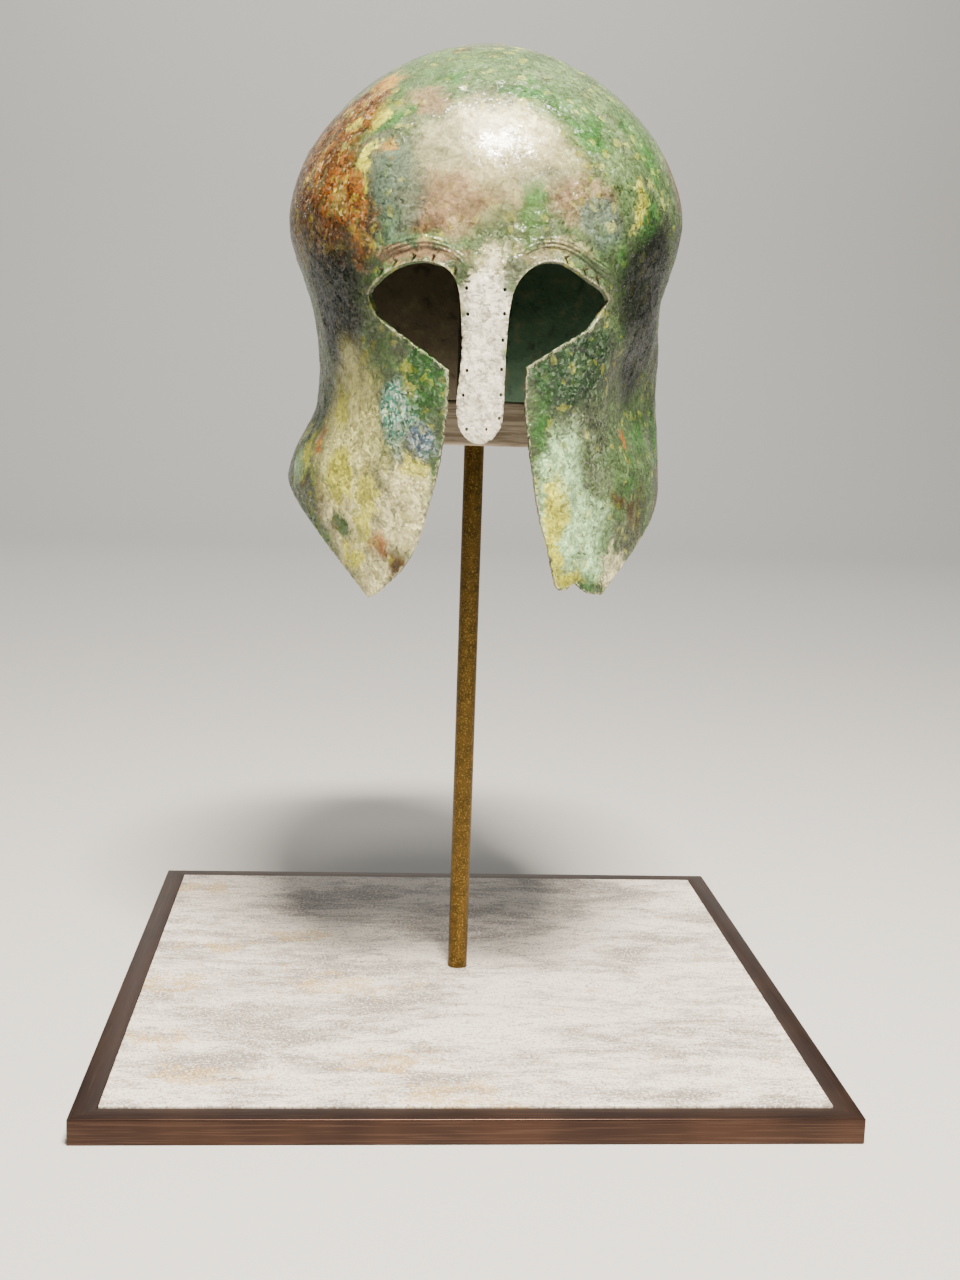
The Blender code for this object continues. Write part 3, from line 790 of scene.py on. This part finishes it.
def reckon(operation, first, second=0.0, third=0.0):
    """Does one sum on numbers or sockets."""
    inputs = {0: first, 1: second, 2: third}
    return add_node("Math", inputs, operation=operation).outputs[0]


def reckon_vector(operation, first, second=(0, 0, 0), third=(0, 0, 0)):
    """Does one sum on vectors; a length or a dot product comes out as a number."""
    inputs = {0: first, 1: second, 2: third}
    made = add_node("VectorMath", inputs, operation=operation)
    return made.outputs["Value" if operation in ("LENGTH", "DOT_PRODUCT") else "Vector"]


def stretch(place, scale):
    """The coordinates times a scale for each axis; a small one draws patterns out."""
    return add_node("Mapping", {"Vector": place, "Scale": scale}).outputs[0]


def jump(place, random_colour, reach_mm):
    """Shifts the coordinates by a random colour, by up to reach_mm each way."""
    shift = reckon_vector("SUBTRACT", random_colour, (0.5, 0.5, 0.5))
    return reckon_vector("MULTIPLY_ADD", shift, (reach_mm * 2 * MM,) * 3, place)


def bend(place, size_mm, reach_mm):
    """Shifts the coordinates by up to about reach_mm, in cells of size_mm."""
    inputs = {"Vector": place, "Scale": 1000.0 / size_mm, "Detail": 0.7}
    cloud = add_node("TexNoise", inputs).outputs["Color"]
    return jump(place, cloud, reach_mm)


def away_from(place, spot, sizes):
    """The distance from a spot, counted in the sizes of a stain along each axis."""
    shrink = tuple(1 / size for size in sizes)
    start = tuple(-spot[axis] * shrink[axis] for axis in range(3))
    return reckon_vector("LENGTH", reckon_vector("MULTIPLY_ADD", place, shrink, start))


def raise_bumps(shader, *layers, strength=1.0):
    """Stacks bump layers, each a height socket and its real height in millimetres."""
    normal = None
    for height, tall_mm in layers:
        inputs = {"Height": height, "Distance": tall_mm * MM, "Strength": strength}
        if normal is not None:
            inputs["Normal"] = normal
        normal = add_node("Bump", inputs).outputs["Normal"]
    plug(shader, {"Normal": normal})


def dress(piece, finish):
    """Gives a piece one finish."""
    piece.data.materials.clear()
    piece.data.materials.append(finish)


print("finish helpers ready")

# %% [markdown]
# ## Old bronze
# Buried bronze grows a crust of copper salts: green malachite, blue azurite, brown and red oxides,
# and pale tin salts. Which one grows where is chance, so the big patches are charted from
# the photograph, each with its place, its size in millimetres and its colour. The edges of the
# patches are broken up by bending the coordinates with noise, coarse and fine, and by letting them
# jump from flake to flake. Away from the photographed side, the noise alone chooses among the same
# colours.
# The dark patches on the temples are mostly painted shade, the shade that the dome throws down
# there, over a darker crust.

# %% Name the colours of the crust
CRUST_COLOURS = {
    "tin white": "#EFE8D6",
    "pale": "#DCD4A2",
    "cream": "#FBF1B2",
    "straw": "#CFCB84",
    "beige": "#A0936A",
    "pink beige": "#8F7054",
    "grey": "#5E654D",
    "blue grey": "#556B5C",
    "sage": "#526840",
    "mint": "#B4DCA0",
    "malachite": "#336229",
    "dark malachite": "#253F25",
    # Mostly painted shade: the shade that the dome throws on the temples, over a darker crust.
    "painted shade over dark crust": "#10170D",
    "teal": "#50927C",
    "azurite": "#465C8E",
    "sulphur": "#CBC93E",
    "ochre": "#A87C30",
    "rust": "#583614",
    "bright rust": "#A86224",
}

# %% Chart the stains
# Each row is: pixels across and down in the photograph, width and height in mm, colour, strength.
STAINS = {
    "forehead": (495, 160, 46, 34, "beige", 0.75),
    "forehead, pale": (492, 128, 34, 14, "pale", 0.7),
    "forehead, left": (430, 140, 20, 22, "grey", 0.5),
    "crown, left": (430, 64, 34, 13, "sage", 0.8),
    "crown": (510, 56, 36, 12, "sage", 0.85),
    "crown, right": (590, 90, 34, 18, "sage", 0.75),
    "crown, pink": (425, 98, 16, 8, "pink beige", 0.6),
    "brow, brown": (440, 205, 26, 15, "pink beige", 0.7),
    "brow, grey": (396, 190, 15, 30, "blue grey", 0.6),
    "brow, middle grey": (548, 182, 20, 12, "grey", 0.7),
    "brow, pink": (588, 205, 20, 16, "pink beige", 0.65),
    "brow, green root": (500, 232, 18, 11, "sage", 0.55),
    "crown spot": (527, 93, 13, 5, "malachite", 0.8),
    "temple green": (590, 139, 12, 13, "malachite", 0.75),
    "brow green": (536, 206, 9, 15, "malachite", 0.75),
    "right limb": (652, 150, 16, 34, "sage", 0.8),
    "right limb, green": (650, 160, 8, 20, "malachite", 0.6),
    "right limb, low": (652, 222, 14, 14, "malachite", 0.8),
    "right blue grey": (602, 220, 13, 11, "blue grey", 0.8),
    "right yellow": (640, 204, 5, 9, "sulphur", 0.6),
    "right rim, grey": (676, 196, 9, 22, "grey", 0.8),
    "rust field": (322, 190, 32, 36, "rust", 0.95),
    "rust field, limb": (298, 180, 34, 42, "rust", 0.95),
    "rust field, high": (352, 116, 26, 24, "rust", 0.85),
    "rust field, foot": (362, 228, 9, 20, "rust", 0.7),
    "rust ember": (332, 198, 13, 20, "bright rust", 0.55),
    "rust ember, inner": (354, 215, 7, 22, "bright rust", 0.7),
    "rust ember, high": (388, 82, 14, 7, "ochre", 0.8),
    "rust olive": (318, 165, 8, 13, "ochre", 0.6),
    "yellow seam": (368, 160, 4, 32, "sulphur", 0.95),
    "yellow seam, high": (383, 112, 7, 12, "sulphur", 0.65),
    "yellow spot": (354, 122, 6, 6, "sulphur", 0.85),
    "ochre spot": (385, 150, 5, 5, "ochre", 0.7),
    "left brow band": (412, 253, 26, 4, "pink beige", 0.8),
    "right brow band": (556, 250, 24, 4, "beige", 0.6),
    "nasal root": (488, 275, 12, 14, "pale", 0.8),
    "nasal": (487, 335, 15, 34, "tin white", 1.0),
    "nasal, low": (480, 405, 14, 26, "tin white", 1.0),
    # Painted shade: these four stains darken the temples where the dome throws its shade, over a
    # darker crust.
    "left temple": (330, 285, 38, 28, "painted shade over dark crust", 0.92),
    "left temple, low": (335, 330, 28, 28, "painted shade over dark crust", 0.88),
    "right temple": (645, 285, 34, 30, "painted shade over dark crust", 0.92),
    "right temple, low": (642, 345, 26, 34, "painted shade over dark crust", 0.88),
    "left cheek": (348, 430, 34, 44, "straw", 0.95),
    "left cheek, green": (426, 378, 15, 24, "malachite", 0.9),
    "left cheek, dark": (440, 360, 7, 10, "dark malachite", 0.6),
    "left cheek, vein": (406, 388, 4, 13, "sulphur", 0.4),
    "left cheek, teal": (396, 418, 11, 18, "teal", 0.7),
    "left cheek, azurite": (425, 438, 8, 9, "azurite", 0.5),
    "left cheek, frost": (398, 408, 10, 14, "teal", 0.7),
    "left corner": (298, 468, 10, 12, "mint", 0.7),
    "left corner, yellow": (312, 425, 6, 12, "sulphur", 0.6),
    "left corner, rust": (321, 440, 5, 12, "bright rust", 0.8),
    "left cheek, pale": (405, 505, 19, 28, "cream", 0.9),
    "left cheek, low": (350, 520, 26, 28, "cream", 0.8),
    "left cheek, blue": (354, 528, 3, 7, "blue grey", 0.6),
    "left cheek, rust": (379, 546, 9, 8, "bright rust", 0.75),
    "left tip": (372, 575, 14, 14, "cream", 0.85),
    "right cheek": (592, 420, 30, 40, "grey", 0.85),
    "right cheek, dark": (578, 365, 28, 26, "dark malachite", 0.92),
    "right cheek, sage": (614, 430, 12, 22, "sage", 0.6),
    "right cheek, edge": (544, 408, 5, 20, "malachite", 0.6),
    "right cheek, rust": (622, 444, 6, 9, "bright rust", 0.85),
    "right cheek, mint": (562, 495, 15, 34, "mint", 0.85),
    "right cheek, low": (588, 540, 20, 22, "mint", 0.85),
    "right cheek, yellow": (554, 524, 7, 28, "sulphur", 0.95),
    "right tip, yellow": (568, 580, 9, 7, "sulphur", 0.9),
    "right cheek, green": (606, 535, 6, 12, "sage", 0.7),
    "right cheek, outer": (645, 490, 12, 30, "sage", 0.7),
    "right tip": (614, 570, 12, 12, "pale", 0.8),
    "left cheek, lime": (338, 478, 13, 16, "sulphur", 0.85),
    "left cheek, lime stroke": (362, 508, 8, 20, "sulphur", 0.8),
    "left cheek, lime rim": (308, 452, 8, 16, "sulphur", 0.7),
    "left cheek, lime patch": (414, 464, 10, 8, "sulphur", 0.75),
    "left cheek, lime high": (344, 408, 8, 14, "sulphur", 0.6),
    "left cheek, lime low": (352, 552, 9, 8, "sulphur", 0.9),
    "left cheek, olive": (341, 526, 9, 8, "malachite", 0.9),
    "left cheek, ochre": (336, 530, 3, 4, "ochre", 0.8),
}

# %% Name the regions that have a detail of their own
REGIONS = {
    "crazed": ("nasal root", "nasal", "nasal, low", "left cheek, pale"),
    "frosted": ("left cheek, teal", "left cheek, frost", "left cheek, azurite"),
    "polished": ("forehead", "forehead, pale", "forehead, left"),
    "rusty": ("rust field", "rust field, limb", "rust field, high", "rust field, foot"),
    "speckled": ("left cheek, green", "left cheek, teal", "right cheek, dark", "right cheek"),
    "painted temple shade": ("left temple", "left temple, low", "right temple", "right temple, low"),
    "white": ("nasal", "nasal, low"),
}

# %% Lay the stains
def flake_cells(place, size_mm):
    """Flakes of about size_mm: their random colours, two random numbers, and how they lean."""
    cell = add_node("TexVoronoi", {"Vector": place, "Scale": 1000.0 / size_mm})
    flakes = cell.outputs["Color"]
    parts = add_node("SeparateColor", {"Color": flakes}).outputs
    leaning = reckon_vector("SUBTRACT", flakes, (0.5, 0.5, 0.5))
    inside = reckon_vector("SUBTRACT", place, cell.outputs["Position"])
    rise = reckon_vector("DOT_PRODUCT", leaning, inside)
    return flakes, parts["Red"], parts["Green"], reckon("DIVIDE", rise, MM)


finish, shader, place = new_finish("patinated_bronze")
flake_place = bend(bend(place, 6.0, 2.4), 1.7, 0.6)
big_flakes, big_height, big_tint, big_lean = flake_cells(flake_place, 3.4)
small_flakes, small_height, small_tint, small_lean = flake_cells(flake_place, 1.3)
bent = bend(place, 18.0, 8.0)
bent = bend(bent, 6.0, 2.6)
bent = jump(bent, big_flakes, 1.6)
bent = jump(bent, small_flakes, 0.9)

wide_drift = between(mottle(bent, 40.0, detail=2.0), 0.40, 0.60)
colour = blend_colours(wide_drift, CRUST_COLOURS["sage"], CRUST_COLOURS["grey"])
patch_place = bend(place, 24.0, 12.0)
green_patch = between(mottle(patch_place, 46.0, detail=3.0), 0.55, 0.62, 0.0, 0.7)
colour = blend_colours(green_patch, colour, CRUST_COLOURS["malachite"])
rust_patch = between(mottle(patch_place, 58.0, detail=3.0), 0.42, 0.36, 0.0, 0.75)
colour = blend_colours(rust_patch, colour, CRUST_COLOURS["rust"])

region = dict.fromkeys(REGIONS, 0.0)
for stain, (across, down, wide, tall, code, strength) in STAINS.items():
    away = away_from(bent, seen_at(across, down), (wide * MM, wide * MM, tall * MM))
    share = between(away, 0.55, 1.15, strength, 0.0)
    colour = blend_colours(share, colour, CRUST_COLOURS[code])
    for name, stains in REGIONS.items():
        if stain in stains:
            region[name] = reckon("MAXIMUM", region[name], share)
print("stains:", len(STAINS))

# %% [markdown]
# Over the patches go the fine things. The crust is built of flakes, 1 to 4 mm wide, each a little
# higher or lower than the next, a little lighter or darker, and leaning its own way, so that some
# catch the light: Voronoi cells give each flake its random numbers. Clouds and grain only brighten
# or dim the colour below them, so a green stays green. The hollows of the small pits and knobs are
# darkened as painted shade, and the tops of the knobs are lightened as a painted highlight. A thin
# coat of clear wax gives the sharp glints, and the forehead is polished smoother. The white crust of
# the nasal and the left cheek is crazed, and the rim is worn pale.

# %% Finish the outer bronze
swells, pits, knobs, grains = (
    mottle(place, size_mm, detail=1.0, rough=0.5) for size_mm in (8.0, 2.8, 1.7, 0.9)
)
clouds = mottle(bent, 11.0, detail=2.0, rough=0.5)
streaks = mottle(stretch(bent, (1.0, 1.0, 0.35)), 3.0, detail=3.0, rough=0.6)
cells = add_node(
    "TexVoronoi", {"Vector": flake_place, "Scale": 1000.0 / 3.2},
    feature="DISTANCE_TO_EDGE"
).outputs["Distance"]
edge, nick = (
    add_node("Attribute", {}, finish.node_tree, attribute_name=share).outputs["Fac"]
    for share in ("edge_share", "painted_nick_shade")
)
rubbed = between(region["polished"], 0.2, 0.7, 1.0, 0.3)
mixed = reckon("MULTIPLY", rubbed, between(region["painted temple shade"], 0.1, 0.5, 1.0, 0.2))

# Each row is: where the flecks lie, their pattern, where they begin and are full, strength, colour.
for part, pattern, low, high, strength, code in (
    (region["rusty"], streaks, 0.50, 0.58, 0.8, "#8C5524"),
    (region["rusty"], streaks, 0.46, 0.40, 0.85, "#3A2512"),
    (region["rusty"], clouds, 0.56, 0.64, 0.6, "#857E3C"),
    (region["rusty"], small_tint, 0.88, 0.90, 0.4, "#C4AE86"),
    (region["frosted"], small_tint, 0.50, 0.56, 0.75, "#D6E0CE"),
    (region["speckled"], small_tint, 0.74, 0.78, 0.25, "#9DB094"),
    (region["speckled"], small_height, 0.24, 0.20, 0.45, "#203A26"),
    (mixed, big_tint, 0.92, 0.93, 0.22, CRUST_COLOURS["sulphur"]),
    (mixed, big_tint, 0.11, 0.10, 0.35, "#5D7340"),
    (mixed, small_tint, 0.09, 0.08, 0.35, "#3B3A28"),
):
    share = reckon("MULTIPLY", between(pattern, low, high, 0.0, strength), part)
    colour = blend_colours(share, colour, code)

# Each row is: a pattern, its range, and the brightness at both ends of the range.
for pattern, low, high, dim, bright in (
    (clouds, 0.30, 0.70, 0.70, 1.25),
    (big_height, 0.0, 1.0, 0.86, 1.12),
    (small_height, 0.0, 1.0, 0.86, 1.12),
    # Painted shade: the hollows of the pits and of the knobs are darkened.
    (pits, 0.30, 0.42, 0.72, 1.0),
    (knobs, 0.36, 0.50, 0.88, 1.0),
    # Painted highlight: the tops of the knobs are lightened.
    (knobs, 0.56, 0.66, 1.0, 1.14),
):
    inputs = {0: colour, 3: between(pattern, low, high, dim, bright)}
    colour = add_node("VectorMath", inputs, operation="SCALE").outputs[0]

colour = blend_colours(reckon("MULTIPLY", region["white"], 0.8), colour, "#F8F0D8")
crack = reckon("MULTIPLY", between(cells, 0.05, 0.0, 0.0, 0.25), region["crazed"])
colour = blend_colours(crack, colour, "#5A523F")
worn_edge = reckon("MULTIPLY_ADD", streaks, 2.0, edge)
colour = tint(colour, worn_edge, 1.80, 1.94, 0.5, "#D2CBA2")
# Painted shade: each nick in the rim is darkened, standing in for the dark of a broken lining hole.
colour = blend_colours(reckon("MULTIPLY", nick, 0.7), colour, "#1C1912")
polish = between(region["polished"], 0.2, 0.7, 1.0, 0.75)
dullness = reckon("MULTIPLY", between(small_height, 0.0, 1.0, 0.19, 0.38), polish)
plug(shader, {"Base Color": colour, "Roughness": dullness, "Specular IOR Level": 0.42})
plug(shader, {"Coat Weight": 0.1, "Coat Roughness": 0.13})
raise_bumps(
    shader,
    (swells, 0.5), (pits, 0.4), (knobs, 0.2), (grains, 0.08), (big_lean, 0.3), (big_height, 0.1),
    (small_lean, 0.35), (small_height, 0.06),
    strength=rubbed
)
skin.data.materials[0] = finish
print(finish.name, len(finish.node_tree.nodes), "nodes")

# %% [markdown]
# The inside was never cleaned or waxed: a dull, dark brown crust that turns green to one side.

# %% Finish the inner bronze
finish, shader, place = new_finish("unwaxed_inner_bronze")
side = add_node("SeparateXYZ", {"Vector": bend(place, 18.0, 14.0)}).outputs["X"]
green_share = between(side, -0.005, 0.025)
colour = blend_colours(green_share, "#625846", "#45654F")
patches = mottle(place, 9.0, detail=4.0, rough=0.65)
colour = tint(colour, patches, 0.50, 0.72, 0.6, "#7C7A5C")
colour = tint(colour, patches, 0.45, 0.28, 0.7, "#1E1C16")
plug(shader, {"Base Color": colour, "Metallic": 0.1, "Roughness": 0.68})
raise_bumps(shader, (patches, 0.5), (mottle(place, 1.6), 0.25))
skin.data.materials[1] = finish
for placeholder in placeholders:
    bpy.data.materials.remove(placeholder)
print(finish.name, len(finish.node_tree.nodes), "nodes")

# %% [markdown]
# ## Pins, rod and post
# The pins are nearly black bronze. The rod is brass left bare, and a little tarnished: its colour
# moves between gold and olive brown, with fine specks. The post inside is plain turned steel.

# %% Finish the small metal
finish, shader, place = new_finish("tarnished_pin_bronze")
spots = mottle(place, 0.8)
colour = blend_colours(between(spots, 0.4, 0.65), "#2A2620", "#6B6144")
plug(shader, {"Base Color": colour, "Metallic": 0.5, "Roughness": 0.5})
raise_bumps(shader, (spots, 0.08))
for pin in pins:
    dress(pin, finish)

finish, shader, place = new_finish("tarnished_brass")
tarnish = mottle(place, 5.0, detail=5.0, rough=0.7)
specks = mottle(place, 0.9, detail=2.0, rough=0.6)
colour = blend_colours(between(tarnish, 0.38, 0.66), "#654F25", "#4D3F1F")
colour = tint(colour, specks, 0.52, 0.68, 0.5, "#B8954F")
dullness = between(specks, 0.35, 0.65, 0.34, 0.5)
plug(shader, {"Base Color": colour, "Metallic": 0.9, "Roughness": dullness})
raise_bumps(shader, (specks, 0.04))
dress(rod, finish)

finish, shader, place = new_finish("turned_steel")
rings = add_node(
    "TexWave", {"Vector": place, "Scale": 260.0, "Distortion": 0.6},
    wave_type="BANDS", bands_direction="Z"
).outputs["Fac"]
colour = blend_colours(rings, "#6E6C68", "#8A8883")
plug(shader, {"Base Color": colour, "Metallic": 1.0, "Roughness": 0.34})
raise_bumps(shader, (rings, 0.02))
dress(post, finish)
print("pins, rod and post are finished")

# %% [markdown]
# ## Stone, tray and wood
# The slab is a pale, honed stone with grey clouds drawn out across it and a few ochre stains. The
# tray is dark brown bronze, brushed along its sides. The bar is rough pale wood, with its grain
# along its length and dark drying cracks.

# %% Finish the stone
# Each row is: pixels across and down in the photograph, reach in mm to the front and the back.
# To the sides, a stain reaches twice as far.
OCHRE_STAINS = {
    "back left corner": (198, 887, 16),
    "back left": (298, 935, 15),
    "left, far": (219, 945, 14),
    "left": (172, 982, 17),
    "left of the rod": (345, 985, 22),
    "left, near": (145, 1039, 15),
    "front": (450, 1094, 20),
    "front, left of middle": (390, 1062, 15),
    "front left": (200, 1076, 16),
}


def on_slab(across, down):
    """The place on top of the slab at a pixel of the photograph."""
    direction = sight(across, down)
    return CAMERA_PLACE + direction * ((slab_high.z - CAMERA_PLACE.z) / direction.z)


finish, shader, place = new_finish("honed_stone")
drawn = bend(bend(stretch(place, (0.34, 1.0, 1.0)), 30.0, 8.0), 6.0, 2.0)
drifts = mottle(drawn, 24.0, detail=7.0, rough=0.72)
veins = mottle(drawn, 15.0, detail=5.0, rough=0.6)
grit = mottle(place, 1.3, detail=2.0, rough=0.6)
crumbs = mottle(bend(place, 6.0, 4.0), 12.0, detail=5.0, rough=0.75)
colour = blend_colours(between(drifts, 0.40, 0.58), "#988E84", "#EBDFD0")
vein = reckon("ABSOLUTE", reckon("SUBTRACT", veins, 0.5))
vein = between(vein, 0.016, 0.0, 0.0, 0.7)
colour = blend_colours(vein, colour, "#857B72")
stained = 0.0
for across, down, wide in OCHRE_STAINS.values():
    away = away_from(place, on_slab(across, down), (2 * wide * MM, wide * MM, wide * MM))
    stained = reckon("MAXIMUM", stained, between(away, 0.2, 1.3, 1.0, 0.0))
ochre = reckon("MULTIPLY_ADD", stained, 0.17, crumbs)
colour = tint(colour, ochre, 0.59, 0.69, 0.6, "#C8A24E")
colour = tint(colour, grit, 0.54, 0.64, 0.7, "#F6EEE2")
colour = tint(colour, grit, 0.46, 0.34, 0.7, "#766C63")
plug(shader, {"Base Color": colour, "Roughness": 0.5})
raise_bumps(shader, (drifts, 0.35), (crumbs, 0.2), (grit, 0.1))
dress(slab, finish)
print(finish.name, len(finish.node_tree.nodes), "nodes")

# %% Finish the tray
finish, shader, place = new_finish("brushed_brown_bronze")
sides = add_node("SeparateXYZ", {"Vector": place}).outputs
from_left = reckon("ABSOLUTE", sides["X"])
from_front = reckon("ABSOLUTE", sides["Y"])
at_side = reckon("GREATER_THAN", from_left, from_front)
front_lines = mottle(stretch(place, (0.015, 1.0, 1.0)), 0.8, detail=2.0, rough=0.6)
side_lines = mottle(stretch(place, (1.0, 0.015, 1.0)), 0.8, detail=2.0, rough=0.6)
lines = add_node("Mix", {0: at_side, 2: front_lines, 3: side_lines}).outputs[0]
wear = mottle(place, 45.0, detail=2.0, rough=0.5)
colour = blend_colours(between(wear, 0.35, 0.65), "#3B2B25", "#49342A")
colour = tint(colour, lines, 0.48, 0.66, 0.18, "#8A6A58")
dullness = between(lines, 0.3, 0.7, 0.32, 0.42)
plug(shader, {"Base Color": colour, "Metallic": 0.85, "Roughness": dullness})
raise_bumps(shader, (lines, 0.012))
dress(tray, finish)

# %% Finish the wood
finish, shader, place = new_finish("rough_sawn_wood")
along = stretch(place, (0.06, 1.0, 1.0))
grain = mottle(along, 2.2, detail=4.0, rough=0.6, distortion=0.5)
cracks = mottle(along, 5.0, detail=2.0, rough=0.5, distortion=0.8)
colour = blend_colours(between(grain, 0.38, 0.66), "#8F7F6D", "#C8B9A4")
colour = tint(colour, cracks, 0.36, 0.30, 1.0, "#33241B")
plug(shader, {"Base Color": colour, "Roughness": 0.65})
raise_bumps(shader, (grain, 0.12), (cracks, 0.4))
dress(bar, finish)
print("stone, tray and wood are finished")

# %% [markdown]
# ## Floor and light
# A plain pale floor turns up behind the object, and has a light of its own there. Two soft boxes
# hang over the helmet, one in front and one nearly above it, so the dome and the brows throw
# their shade down the face; two weak ones at the sides and a surround fill it. The surround is
# pale to the eye and weak as a light.

# %% Lay the floor
FLOOR_SIZE = (6.0, 4.4, 1.0)
TURN_STEPS = 8
TURN_STEP = 0.16
BACKDROP_HEIGHT = 2.5
bpy.ops.mesh.primitive_plane_add(size=1.0, location=(0, 0.2, 0))
bpy.context.object.scale = FLOOR_SIZE
floor = settle(bpy.context.object, "studio_floor")
switch("EDIT")
bpy.ops.mesh.select_mode(type="EDGE")
bpy.ops.mesh.select_all(action="DESELECT")
edit = bmesh.from_edit_mesh(floor.data)
for edge in edit.edges:
    edge.select_set(all(vertex.co.y > 2.0 for vertex in edge.verts))
bmesh.update_edit_mesh(floor.data)
for step in range(TURN_STEPS):
    lift = math.radians(90 * (step + 0.5) / TURN_STEPS)
    extrude(0, TURN_STEP * math.cos(lift), TURN_STEP * math.sin(lift))
extrude(0, 0, BACKDROP_HEIGHT)
switch("OBJECT")
bpy.ops.object.shade_smooth()
finish, shader, place = new_finish("pale_studio_paper")
plug(shader, {"Base Color": linear("#C9C7C2"), "Roughness": 0.8})
dress(floor, finish)

# %% Hang the lights
# Each row is: place, what it points at, width and height, watts and colour.
LIGHTS = {
    "key_light": ((0.09, -0.54, 1.33), (0.005, -0.05, 0.36), (0.34, 0.13), 74.0, "#FFF7EA"),
    "top_light": ((0.02, -0.24, 1.36), (0.005, -0.02, 0.30), (0.30, 0.20), 8.0, "#FFF7EA"),
    "left_fill": ((-1.1, -0.9, 0.8), (0, 0, 0.3), (0.8, 0.8), 0.6, "#F2F5FF"),
    "right_fill": ((1.2, -0.7, 0.7), (0, 0, 0.3), (0.8, 0.8), 0.4, "#F2F5FF"),
    "backdrop_light": ((0, 1.3, 2.3), (0, 3.0, 0.8), (2.4, 0.5), 60.0, "#FFFFFF"),
}
for name, (place, target, size, watts, code) in LIGHTS.items():
    lamp = bpy.data.lights.new(name, "AREA")
    lamp.shape = "RECTANGLE"
    lamp.size, lamp.size_y = size
    lamp.energy = watts
    lamp.color = linear(code)[:3]
    hung = bpy.data.objects.new(name, lamp)
    bpy.context.scene.collection.objects.link(hung)
    hung.location = place
    hung.rotation_euler = (Vector(target) - Vector(place)).to_track_quat("-Z", "Y").to_euler()

world = bpy.data.worlds.new("studio")
bpy.context.scene.world = world
world.use_nodes = True
seen = add_node("LightPath", {}, world.node_tree).outputs["Is Camera Ray"]
strength = between(seen, 0.0, 1.0, 0.05, 0.55)
plug(world.node_tree.nodes["Background"], {"Color": linear("#DDE0E4"), "Strength": strength})
print("lights hung")
